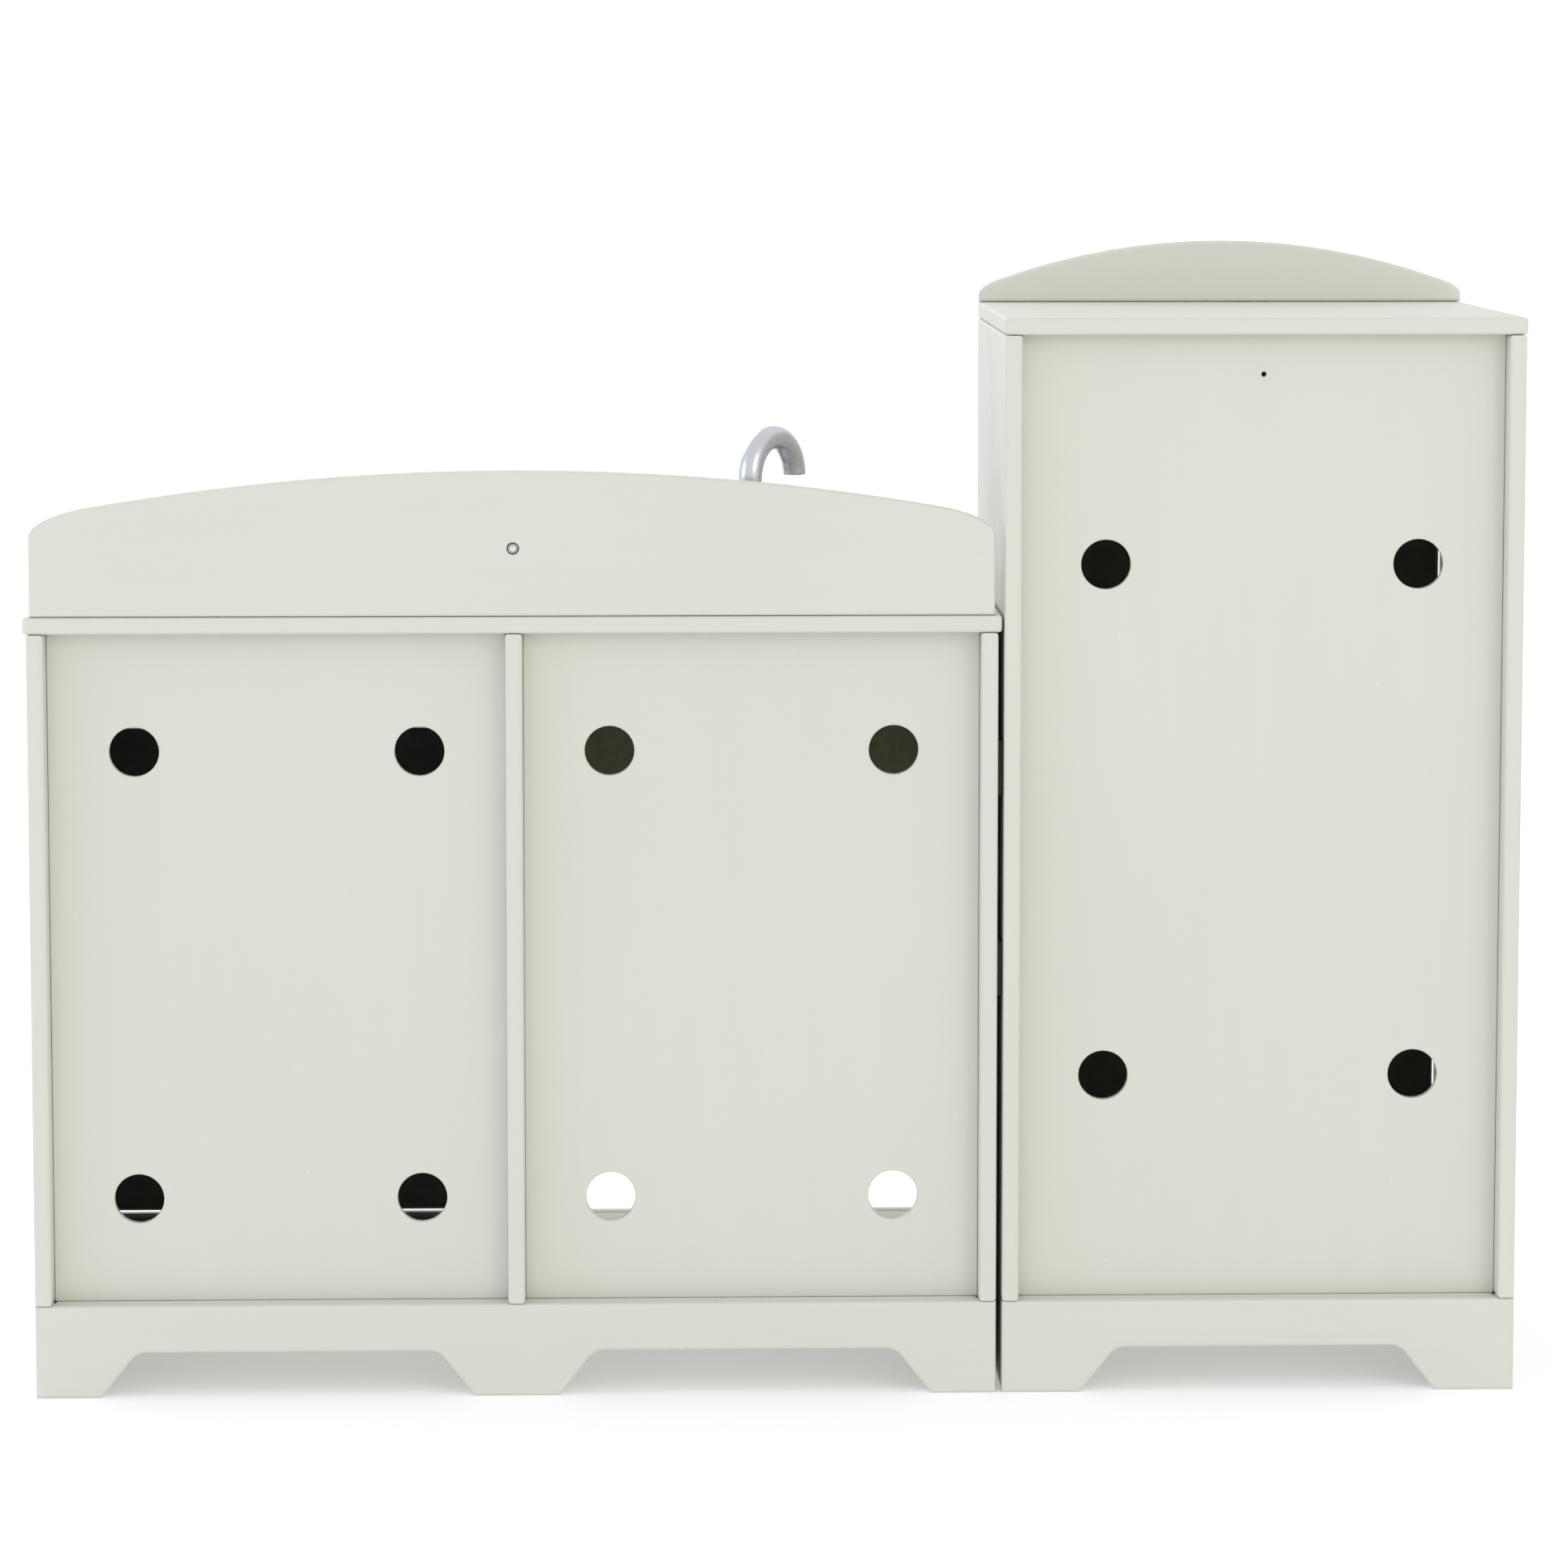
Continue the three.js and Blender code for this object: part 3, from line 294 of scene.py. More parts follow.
def metal(name, colour, roughness, grain, strength=0.12):
    """Satin metal with fine scratches along the long way of the grain."""
    surface = Surface(name)
    scratches = surface.noise(scale=900.0, detail=3.0, place=surface.stretched(grain))
    clouds = surface.noise(scale=20.0, detail=3.0)
    tone = surface.mix(surface.spread(clouds, *WIDE), shade(colour, 0.93), shade(colour, 1.04))
    tone = surface.mix(surface.spread(scratches, 0.4, 0.7, to_high=0.25), tone, shade(colour, 0.8))
    rounded, edge = surface.soft_edge(0.5 * MM)
    tone = surface.mix(surface.math("MULTIPLY", edge, 0.5), tone, shade(colour, 1.18))
    gloss = surface.spread(scratches, *WIDE, roughness - 0.05, roughness + 0.08)
    normal = surface.bump(scratches, strength, distance=0.04 * MM, normal=rounded)
    surface.set(base=tone, roughness=gloss, metallic=1.0, normal=normal)
    return surface.material


def plastic(name, colour, roughness, grain_scale=1400.0, grain=0.25, smudge=0.06):
    """Moulded plastic with a fine grain, faint smudges and paler rubbed edges."""
    surface = Surface(name)
    smears = surface.noise(scale=26.0, detail=4.0, place=surface.stretched((1.0, 1.6, 1.0)))
    tone = surface.mix(surface.spread(smears, *NARROW), colour, shade(colour, 1.25))
    rounded, edge = surface.soft_edge(0.6 * MM)
    patches = surface.spread(surface.noise(scale=60.0, detail=3.0), 0.4, 0.7, 0.1, 0.6)
    tone = surface.mix(surface.math("MULTIPLY", edge, patches), tone, shade(colour, 2.4))
    gloss = surface.spread(smears, *NARROW, roughness, roughness + smudge)
    grains = surface.noise(grain_scale, detail=2.0)
    normal = surface.bump(grains, grain, distance=0.05 * MM, normal=rounded)
    surface.set(base=tone, roughness=gloss, normal=normal)
    return surface.material


def clear(name):
    """Clear acrylic with faint hairline scratches, smears and greener, duller edges."""
    surface = Surface(name)
    hairs = surface.noise(scale=240.0, detail=2.0, place=surface.stretched((0.06, 1.0, 1.0)))
    smears = surface.noise(scale=30.0, detail=3.0)
    tone = surface.mix(surface.spread(smears, *NARROW), (0.93, 0.96, 0.96), (0.88, 0.92, 0.92))
    rounded, edge = surface.soft_edge(0.5 * MM)
    tone = surface.mix(edge, tone, (0.60, 0.74, 0.70))
    smeared = surface.spread(smears, 0.4, 0.7, 0.02, 0.08)
    gloss = surface.math("ADD", smeared, surface.math("MULTIPLY", edge, 0.2))
    scratches = surface.spread(hairs, 0.62, 0.66)
    normal = surface.bump(scratches, strength=0.05, distance=0.02 * MM, normal=rounded)
    surface.set(base=tone, roughness=gloss, normal=normal)
    surface.shader.inputs["Transmission Weight"].default_value = 1.0
    surface.shader.inputs["IOR"].default_value = 1.49
    return surface.material


def foam(name):
    """Dark open foam with pale, torn edges."""
    surface = Surface(name)
    cells = surface.noise(scale=900.0, detail=3.0)
    tone = surface.mix(surface.spread(cells, *WIDE), (0.012, 0.011, 0.010), (0.040, 0.036, 0.033))
    rounded, edge = surface.soft_edge(0.8 * MM)
    tone = surface.mix(surface.math("MULTIPLY", edge, 0.5), tone, (0.10, 0.09, 0.08))
    gloss = surface.spread(cells, *WIDE, 0.85, 0.98)
    normal = surface.bump(cells, strength=0.6, distance=0.4 * MM, normal=rounded)
    surface.set(base=tone, roughness=gloss, normal=normal)
    return surface.material


# ---------------------------------------------------------------- mesh tools


def piece(name, bm, material, body, replaces=()):
    """Turns a bmesh into a smooth shaded piece that rides on a CAD body."""
    bmesh.ops.remove_doubles(bm, verts=bm.verts, dist=MERGE_DISTANCE)
    bmesh.ops.recalc_face_normals(bm, faces=bm.faces)
    mesh = bpy.data.meshes.new(name)
    bm.to_mesh(mesh)
    bm.free()
    mesh.materials.append(material)
    mesh.polygons.foreach_set("use_smooth", [True] * len(mesh.polygons))
    mesh.set_sharp_from_angle(angle=SMOOTH_ANGLE)
    obj = bpy.data.objects.new(name, mesh)
    bpy.context.scene.collection.objects.link(obj)
    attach(obj, body)
    if replaces:
        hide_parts(*replaces)
    return obj


def joined(*parts):
    """One bmesh that holds all the parts."""
    whole = bmesh.new()
    for part in parts:
        mesh = bpy.data.meshes.new("part")
        part.to_mesh(mesh)
        part.free()
        whole.from_mesh(mesh)
        bpy.data.meshes.remove(mesh)
    return whole


def moved(bm, *matrices):
    for matrix in matrices:
        bmesh.ops.transform(bm, matrix=matrix, verts=bm.verts)
    return bm


def shift(x=0.0, y=0.0, z=0.0):
    return Matrix.Translation((x, y, z))


def turn(angle, axis):
    return Matrix.Rotation(angle, 4, axis)


def placed(place, *turns):
    """The moves that scale a part drawn in millimetres, turn it and take it to its place."""
    return (Matrix.Scale(MM, 4), *turns, Matrix.Translation(place))


def along(direction):
    """The rotation that turns +Z to the given direction."""
    return Vector(direction).to_track_quat("Z", "Y").to_matrix().to_4x4()


def middle(node):
    low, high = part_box(node)
    return (low + high) / 2


# The turns that take +Z to the front, to the rear and to the right.
TO_FRONT = turn(QUARTER_TURN, "X")
TO_REAR = turn(-QUARTER_TURN, "X")
TO_RIGHT = turn(QUARTER_TURN, "Y")


def rounded_corners(points, radius, steps, closed=False):
    """A flat outline with each corner replaced by a curve that starts up to radius from it."""
    result = []
    count = len(points)
    for i, point in enumerate(points):
        here = Vector(point)
        if not closed and i in (0, count - 1):
            result.append(tuple(here))
            continue
        before = Vector(points[i - 1]) - here
        after = Vector(points[(i + 1) % count]) - here
        reach = min(radius, before.length * 0.49, after.length * 0.49)
        start, end = here + before.normalized() * reach, here + after.normalized() * reach
        for step in range(steps + 1):
            t = step / steps
            result.append(tuple((1 - t) ** 2 * start + 2 * t * (1 - t) * here + t * t * end))
    return result


def scaled(points, factor):
    return [(x * factor, y * factor) for x, y in points]


def box_outline(width, height, radius, steps):
    """A rounded rectangle about the origin, anticlockwise."""
    points = []
    for k, (sx, sy) in enumerate(((1, -1), (1, 1), (-1, 1), (-1, -1))):
        centre_x, centre_y = sx * (width / 2 - radius), sy * (height / 2 - radius)
        for step in range(steps + 1):
            angle = (k - 1 + step / steps) * QUARTER_TURN
            points.append((centre_x + radius * math.cos(angle), centre_y + radius * math.sin(angle)))
    return points


def bridge(bm, low, high):
    """Faces between two rings of vertices; either may be a single point."""
    count = max(len(low), len(high))
    for k in range(count):
        ahead = k + 1
        corners = [low[k % len(low)], low[ahead % len(low)], high[ahead % len(high)], high[k % len(high)]]
        distinct = list(dict.fromkeys(corners))
        if len(distinct) > 2:
            bm.faces.new(distinct)


def bridge_all(bm, rings, closed=False):
    """Faces from each ring to the next, and from the last to the first if closed."""
    following = rings[1:] + rings[:1] if closed else rings[1:]
    for low, high in zip(rings, following):
        bridge(bm, low, high)


def turned(profile, sides, closed=False, wobble=None):
    """A turned body about Z from (radius, height) points. wobble may change a radius by angle."""
    bm = bmesh.new()
    rings = []
    for index, (radius, height) in enumerate(profile):
        if radius < ON_AXIS:
            rings.append([bm.verts.new((0.0, 0.0, height))])
            continue
        ring = []
        for k in range(sides):
            angle = WHOLE_TURN * k / sides
            reach = radius * (wobble(index, angle) if wobble else 1.0)
            ring.append(bm.verts.new((reach * math.cos(angle), reach * math.sin(angle), height)))
        rings.append(ring)
    bridge_all(bm, rings, closed)
    return bm


def ring_about(bm, centre, side, other, radius, sides, flatten=1.0):
    """A ring of vertices in the plane of two directions, flattened along the second."""
    ring = []
    for k in range(sides):
        angle = WHOLE_TURN * k / sides
        offset = side * math.cos(angle) + other * math.sin(angle) * flatten
        ring.append(bm.verts.new(centre + offset * radius))
    return ring


def cap_ends(bm, rings):
    bm.faces.new(rings[0])
    bm.faces.new(rings[-1])


def swept(path, radius, sides, closed=False, flatten=1.0):
    """A round tube along a path. An open tube has closed ends."""
    bm = bmesh.new()
    points = [Vector(point) for point in path]
    count = len(points)
    tangents = []
    for i in range(count):
        ahead = points[(i + 1) % count] if closed else points[min(i + 1, count - 1)]
        behind = points[i - 1] if closed else points[max(i - 1, 0)]
        tangents.append((ahead - behind).normalized())
    side = tangents[0].orthogonal().normalized()
    rings = []
    for point, tangent in zip(points, tangents):
        side = (side - tangent * side.dot(tangent)).normalized()
        rings.append(ring_about(bm, point, side, tangent.cross(side), radius, sides, flatten))
    bridge_all(bm, rings, closed)
    if not closed:
        cap_ends(bm, rings)
    return bm


def slab(outline, low, high, edge=0.0, steps=3):
    """A flat outline raised from low to high, with rounded top and bottom edges."""
    bm = bmesh.new()
    bottom = [bm.verts.new((x, y, low)) for x, y in outline]
    top = [bm.verts.new((x, y, high)) for x, y in outline]
    rim = [bm.faces.new(bottom), bm.faces.new(top)]
    bridge(bm, bottom, top)
    if edge > 0:
        edges = [e for face in rim for e in face.edges]
        bmesh.ops.bevel(bm, geom=edges, offset=edge, segments=steps, profile=0.5, affect="EDGES")
    return bm


def lofted(loops):
    """A skin through loops of the same number of points, closed at its last loop."""
    bm = bmesh.new()
    rings = [[bm.verts.new(point) for point in loop] for loop in loops]
    bridge_all(bm, rings)
    bm.faces.new(rings[-1])
    return bm


# ---------------------------------------------------------------- screws

SCREW_RADIUS = 3.4 * MM
WINDOW_SCREW_RADIUS = 3.0 * MM
# In radii of the head. The second and third points are the floor and brim of the recess.
SCREW_PROFILE = [
    (0.0, 0.55), (0.30, 0.52), (0.55, 0.50), (0.62, 0.62), (0.80, 0.55), (0.95, 0.32), (1.0, 0.0), (0.0, 0.0),
]
RECESS_POINTS = (1, 2)
RECESS_WAIST = 0.45


def screw_head(radius):
    """A pan head with a cross recess, its seat on z = 0."""

    def cross(index, angle):
        if index not in RECESS_POINTS:
            return 1.0
        return RECESS_WAIST + (1 - RECESS_WAIST) * abs(math.cos(2 * angle)) ** 3

    return turned(scaled(SCREW_PROFILE, radius), 48, wobble=cross)


def screws(name, places, direction, body, radius=SCREW_RADIUS):
    heads = [moved(screw_head(radius), along(direction), Matrix.Translation(place)) for place in places]
    return piece(name, joined(*heads), LOOKS["bright"], body)


# ---------------------------------------------------------------- faucet and taps

SPOUT_RADIUS = 8.3 * MM
SPOUT_WALL = 1.4 * MM
SPOUT_FOOT = 6 * MM
SPOUT_SIDES = 40
LEG_RINGS = 8
LEG_STEP = 2.5 * MM
BEND_STEPS = 40
# The height above the mouth and the loss of radius of each ring of its rounded lip.
SPOUT_LIP = ((0.9 * MM, 0.0), (0.3 * MM, 0.2 * MM), (0.0, 0.7 * MM))
BORE_DEPTHS = (0.0, 0.5 * MM, 14 * MM)
COLLAR_BORE = 8.7 * MM

# The taps are drawn in units of a twenty-seventh of their height.
TAP_UNITS = 27
TAP_STEM = [
    (0, 0), (12, 0), (12, 2), (8.5, 4.5), (6, 7), (4.6, 11), (4.6, 16), (7.4, 18.5), (7.8, 22),
    (7.2, 25), (5.2, 27), (4.4, 26.2), (0, 26.2),
]
TAP_ARM = [
    (0, 5.5), (3.0, 5.5), (2.5, 8), (2.5, 13.5), (3.0, 14.5), (4.2, 16.4), (4.0, 18.6), (2.6, 20.2),
    (0, 20.6),
]
TAP_BUTTON = [(0, 26.1), (4.2, 26.1), (4.2, 26.6), (3.0, 27.2), (0, 27.4)]
TAP_ARM_HEIGHT = 21.5


def make_spout():
    """The swivelling tube: an upright leg, a half-circle bend and a mouth that opens down."""
    low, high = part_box("faucet_spout")
    base = middle("faucet_base")
    tip = Vector((low.x + SPOUT_RADIUS, low.y + SPOUT_RADIUS, 0))
    leg = Vector((base.x, base.y, 0))
    bend = (tip - leg).length / 2
    ahead = (tip - leg).normalized()
    bend_height = high.z - SPOUT_RADIUS - bend
    path = [leg + Z * low.z, leg + Z * (low.z + SPOUT_FOOT)]
    path += [leg + Z * (bend_height + (k - LEG_RINGS) * LEG_STEP) for k in range(LEG_RINGS)]
    for k in range(BEND_STEPS):
        angle = math.pi * k / BEND_STEPS
        out, up = bend * (1 - math.cos(angle)), bend_height + bend * math.sin(angle)
        path.append(leg + ahead * out + Z * up)
    mouth = leg + ahead * bend * 2 + Z * bend_height
    radii = [SPOUT_RADIUS] * len(path)
    for rise, loss in SPOUT_LIP:
        path.append(mouth + Z * rise)
        radii.append(SPOUT_RADIUS - loss)
    for depth in BORE_DEPTHS:
        path.append(mouth + Z * depth)
        radii.append(SPOUT_RADIUS - SPOUT_WALL)
    bm = spout_skin(path, radii, ahead)
    piece("spout_tube", bm, LOOKS["satin"], "spout", ["faucet_spout"])


def spout_skin(path, radii, ahead):
    """Rings square to the path. Those from the lip's second ring on are level, back into the mouth."""
    bm = bmesh.new()
    across = Z.cross(ahead)
    first_level = len(path) - len(BORE_DEPTHS) - len(SPOUT_LIP) + 1
    rings = []
    for i, (point, radius) in enumerate(zip(path, radii)):
        if i >= first_level:
            tangent = -Z
        else:
            tangent = (path[i + 1] - path[max(i - 1, 0)]).normalized()
        rings.append(ring_about(bm, point, across, tangent.cross(across), radius, SPOUT_SIDES))
    bridge_all(bm, rings)
    cap_ends(bm, rings)
    return bm


def make_faucet_base():
    """The turned collar round the foot of the spout."""
    low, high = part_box("faucet_base")
    centre = (low + high) / 2
    outer = (high.x - low.x) / 2
    neck = COLLAR_BORE + 2.2 * MM
    height = high.z - low.z
    corners = [
        (COLLAR_BORE, 0.0), (outer, 0.0), (outer, 0.3 * height), (outer - 2.6 * MM, 0.55 * height),
        (neck, 0.72 * height), (neck, height), (COLLAR_BORE, height),
    ]
    profile = rounded_corners(corners, 0.8 * MM, 3, closed=True)
    bm = moved(turned(profile, 56, closed=True), shift(centre.x, centre.y, low.z))
    piece("spout_collar", bm, LOOKS["satin"], "cabinet", ["faucet_base"])


def make_tap(node, index_look):
    """A cross-handled tap: a waisted stem, four arms with round ends and a coloured button."""
    low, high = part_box(node)
    centre = (low + high) / 2
    unit = (high.z - low.z) / TAP_UNITS
    place = shift(centre.x, centre.y, low.z)
    parts = [turned(scaled(rounded_corners(TAP_STEM, 1.2, 3), unit), 48)]
    for k in range(4):
        arm = turned(scaled(rounded_corners(TAP_ARM, 0.8, 3), unit), 28)
        heading = turn((k + 0.5) * QUARTER_TURN, "Z")
        parts.append(moved(arm, TO_RIGHT, heading, shift(z=TAP_ARM_HEIGHT * unit)))
    bm = moved(joined(*parts), place)
    piece(f"{node}_cross", bm, LOOKS["satin"], node, [node])
    button = turned(scaled(rounded_corners(TAP_BUTTON, 0.3, 3), unit), 40)
    piece(f"{node}_index", moved(button, place), LOOKS[index_look], node)


# ---------------------------------------------------------------- basin

BASIN_RIM = 9 * MM
BASIN_SHEET = 1.0 * MM
WALL_LEAN = 4.5 * MM
WALL_SHARE = 0.78
FLOOR_BEND = 11 * MM
BEND_RINGS = 6
FLOOR_SHARES = (0.35, 0.65, 0.85, 1.0)
FLOOR_FALL = 0.8 * MM
DRAIN_RADIUS = 17 * MM
# The radius and drop of each step down into the drain.
DRAIN_STEPS = ((16.2 * MM, 1.4 * MM), (15.0 * MM, 2.2 * MM), (6.0 * MM, 2.2 * MM))
STRAINER_RING = [(11.5, 0), (14.6, 0), (14.6, 1.4), (11.5, 1.8)]
STRAINER_HUB = [(0, 0.2), (4.5, 0.2), (4.5, 1.2), (3, 2.2), (0, 2.6)]
STRAINER_SPOKES = 8
STRAINER_DROP = 2.1 * MM


def basin_loops(low, high):
    """The loops of the basin's skin, from under its rim into its drain, and the middle of its floor."""
    centre = (low + high) / 2
    top, rim = high.z, BASIN_RIM
    wall_foot = top - WALL_SHARE * (top - low.z)
    width, run = high.x - low.x, high.y - low.y

    def loop(inset, z, corner):
        outline = box_outline(width - 2 * inset, run - 2 * inset, corner, 10)
        return [Vector((centre.x + x, centre.y + y, z)) for x, y in outline]

    loops = [
        loop(0.3 * MM, top - 2.0 * MM, 27.5 * MM), loop(0.0, top - 1.4 * MM, 28 * MM),
        loop(0.2 * MM, top - 0.5 * MM, 28 * MM), loop(1.0 * MM, top, 27 * MM),
        loop(rim - 1.0 * MM, top, 22 * MM), loop(rim + 0.9 * MM, top - 0.4 * MM, 21 * MM),
        loop(rim + 1.8 * MM, top - 1.6 * MM, 20 * MM), loop(rim + 2.2 * MM, top - 4 * MM, 20 * MM),
        loop(rim + WALL_LEAN, wall_foot, 19 * MM),
    ]
    for k in range(1, BEND_RINGS + 1):
        angle = QUARTER_TURN * k / BEND_RINGS
        inset = rim + WALL_LEAN + FLOOR_BEND * (1 - math.cos(angle))
        loops.append(loop(inset, wall_foot - FLOOR_BEND * math.sin(angle), 18 * MM))
    floor = Vector((centre.x, centre.y, loops[-1][0].z))
    spokes = [point - floor for point in loops[-1]]
    for share in FLOOR_SHARES:
        drop = Z * FLOOR_FALL * share
        loops.append([floor + s.lerp(s.normalized() * DRAIN_RADIUS, share) - drop for s in spokes])
    for radius, drop in DRAIN_STEPS:
        loops.append([floor + s.normalized() * radius - Z * drop for s in spokes])
    return loops, floor


def make_basin():
    """The lift-out basin: a pressed sheet with a rolled rim, and a strainer in its drain."""
    low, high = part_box("sink_basin")
    loops, floor = basin_loops(low, high)
    basin = piece("basin_pressing", lofted(loops), LOOKS["basin"], "basin", ["sink_basin"])
    sheet = basin.modifiers.new("sheet", "SOLIDIFY")
    sheet.thickness = BASIN_SHEET
    sheet.offset = -1.0
    make_strainer(floor - Z * STRAINER_DROP)


def make_strainer(place):
    """A ring and a hub joined by spokes."""
    ring = turned(rounded_corners(STRAINER_RING, 0.4, 2, closed=True), 48, closed=True)
    hub = turned(rounded_corners(STRAINER_HUB, 0.4, 2), 32)
    parts = [ring, hub]
    for k in range(STRAINER_SPOKES):
        spoke = slab(box_outline(9.4, 2.0, 0.6, 2), 0.3, 1.2, 0.25, 2)
        parts.append(moved(spoke, shift(8.4), turn(k * WHOLE_TURN / STRAINER_SPOKES, "Z")))
    bm = moved(joined(*parts), *placed(place))
    piece("basin_strainer", bm, LOOKS["steel"], "basin")


# ---------------------------------------------------------------- knobs and handles

KNOB_SKIRT = [
    (0, -19), (3.9, -19), (3.9, 0), (17, 0), (17, 2.2), (15.6, 3.8), (14.6, 5.0), (14.0, 9.2),
    (12.2, 10.8), (0, 10.8),
]
KNOB_WASHER = [(4.1, 12.6), (8.0, 12.6), (8.0, 13.5), (4.1, 13.5)]
KNOB_NUT = [(4.0, 13.6), (6.4, 13.6), (6.4, 16.6), (4.0, 16.6)]
KNOB_GAP = 0.3 * MM
KNOB_LINE_OFFSET = 8.0
MARK_COUNT = 10
MARK_STEP = math.radians(30)
MARK_CIRCLE = 21.5 * MM

# From the end of the grip inwards, as (radius, distance) points.
GRIP_TIP = [(0, 0), (3.6, 0), (5.0, 1.6), (5.0, 6), (4.5, 7.2), (4.5, 8.6), (4.9, 10)]
GRIP_SWELL = 0.6
SWELL_STEPS = 12
GRIP_RADIUS = 5.5
POST_FOOT = [(0, 0), (8.0, 0), (8.0, 1.2), (6.2, 2.6), (4.2, 4.0), (3.6, 8.0)]
POST_INSET = 24
HANDLE_SINK = 0.3


def make_knob(number):
    """A skirt with a finger grip and a white line, and a washer and nut behind the fascia."""
    node = f"knob_{number}"
    low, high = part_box(node)
    centre = (low + high) / 2
    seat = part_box("control_fascia")[0].y - KNOB_GAP
    reach = (seat - low.y) / MM
    place = Vector((centre.x, seat, centre.z))
    skirt = turned(rounded_corners(KNOB_SKIRT, 0.9, 4), 64)
    grip = slab(box_outline(8.2, 29.0, 3.6, 6), 7.0, reach, 1.4, 4)
    bm = moved(joined(skirt, grip), *placed(place, TO_FRONT))
    piece(f"{node}_grip", bm, LOOKS["charcoal"], node, [node])
    line = slab(box_outline(1.5, 9.0, 0.7, 4), reach - 0.4, reach + 0.15, 0.12, 2)
    bm = moved(line, shift(0, KNOB_LINE_OFFSET), *placed(place, TO_FRONT))
    piece(f"{node}_line", bm, LOOKS["white_print"], node)
    washer = turned(rounded_corners(KNOB_WASHER, 0.2, 2, closed=True), 40, closed=True)
    nut = turned(rounded_corners(KNOB_NUT, 0.3, 2, closed=True), 6, closed=True)
    bm = moved(joined(washer, nut), *placed(place, TO_REAR))
    piece(f"{node}_nut", bm, LOOKS["steel"], node)


def make_knob_marks():
    """Printed dots round each knob, growing from off round to full."""
    dots = []
    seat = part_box("control_fascia")[0].y
    for number in KNOBS:
        centre = middle(f"knob_{number}")
        for step in range(MARK_COUNT):
            angle = MARK_STEP * step
            size = 1.1 + 0.09 * step
            dot = turned(rounded_corners([(0, 0), (size, 0), (size, 0.12), (0, 0.16)], 0.05, 2), 20)
            x, z = MARK_CIRCLE * math.sin(angle), MARK_CIRCLE * math.cos(angle)
            dots.append(moved(dot, *placed((centre.x + x, seat, centre.z + z), TO_FRONT)))
    piece("fascia_marks", joined(*dots), LOOKS["grey_print"], "cabinet")


def grip_profile(end):
    """A grip from -end to end that swells softly between its tips."""
    tip = [(radius, distance - end) for radius, distance in GRIP_TIP]
    neck, start = tip[-1]
    swell = []
    for k in range(1, SWELL_STEPS):
        share = k / SWELL_STEPS
        swell.append((neck + GRIP_SWELL * math.sin(math.pi * share), start - 2 * start * share))
    return tip + swell + [(radius, -height) for radius, height in reversed(tip)]


def make_handle(node, body, name, upright):
    """A bar pull with a softly swelling grip, collared posts and rosettes on the door."""
    low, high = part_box(node)
    centre = (low + high) / 2
    end = ((high.z - low.z) if upright else (high.x - low.x)) / 2 / MM
    reach = (high.y - low.y) / MM + HANDLE_SINK
    grip = turned(rounded_corners(grip_profile(end), 0.7, 3), 40)
    parts = [moved(grip, TO_RIGHT, shift(0, GRIP_RADIUS - reach))]
    for side in (-1, 1):
        corners = POST_FOOT + [(4.0, reach - 10), (4.6, reach - 6), (0, reach - 5)]
        post = turned(rounded_corners(corners, 1.0, 3), 36)
        parts.append(moved(post, TO_FRONT, shift(side * (end - POST_INSET))))
    stand = TO_RIGHT if upright else Matrix.Identity(4)
    place = Vector((centre.x, high.y + HANDLE_SINK * MM, centre.z))
    bm = moved(joined(*parts), *placed(place, stand))
    piece(f"{name}_pull", bm, LOOKS["satin"], body, [node])
    step = (Z if upright else X) * (end - POST_INSET) * MM
    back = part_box(body)[1].y
    spots = [Vector((centre.x, back, centre.z)) + side * step for side in (-1, 1)]
    screws(f"{name}_pull_screws", spots, Y, body)


# ---------------------------------------------------------------- hob and oven

HOB_CORNER = 12 * MM
HOB_EDGE = 0.6 * MM
HOB_TRIM_RADIUS = 1.5 * MM
COIL_PITCH = 6.2
COIL_CLEARANCE = 16
COIL_STEPS = 36
COIL_START = 9.0
COIL_MARGIN = 18.5
COIL_HEIGHT = 2.6
COIL_RADIUS = 2.1
COIL_FLATTEN = 0.72
COIL_END_DROP = 1.6
BURNER_CAP = [(0, 0.7), (5.4, 0.7), (5.4, 2.6), (4.2, 3.4), (0, 3.7)]

RACK_MARGIN = 2 * MM
RACK_CORNER = 12 * MM
RACK_RODS = 17
RACK_ROD_MARGIN = 7 * MM
ROD_RADIUS = 1.1 * MM
RIM_RADIUS = 1.8 * MM
# The rings of a straight rod, as shares of half its length.
ROD_RINGS = (-1, -0.98, 0.98, 1)

WINDOW_LAP = 9 * MM
WINDOW_CORNER = 16 * MM
FRAME_CORNER = 10 * MM
FRAME_THICKNESS = 1.0 * MM
BEAD_RADIUS = 2.4 * MM


def make_hob():
    """A sheet of black glass with a bright trim round it, and four burners."""
    low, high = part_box("hob_plate")
    centre = (low + high) / 2
    outline = box_outline(high.x - low.x, high.y - low.y, HOB_CORNER, 8)
    glass = moved(slab(outline, low.z, high.z, HOB_EDGE), shift(centre.x, centre.y))
    piece("hob_glass", glass, LOOKS["gloss_black"], "cabinet", ["hob_plate"])
    path = [Vector((centre.x + x, centre.y + y, high.z - HOB_EDGE)) for x, y in outline]
    trim = swept(path, HOB_TRIM_RADIUS, 12, closed=True)
    piece("hob_trim", trim, LOOKS["satin"], "cabinet")
    for depth in ("front", "rear"):
        for hand in ("left", "right"):
            make_burner(f"burner_{depth}_{hand}")


def coil_path(radius):
    """A spiral out from the cap that dips into the dish at its end."""
    steps = int((radius - COIL_CLEARANCE) / COIL_PITCH) * COIL_STEPS
    path = []
    for k in range(steps + 1):
        angle = WHOLE_TURN * k / COIL_STEPS
        reach = COIL_START + (radius - COIL_MARGIN) * k / steps
        path.append(Vector((reach * math.cos(angle), reach * math.sin(angle), COIL_HEIGHT)))
    path.append(path[-1] - Z * COIL_END_DROP)
    return path


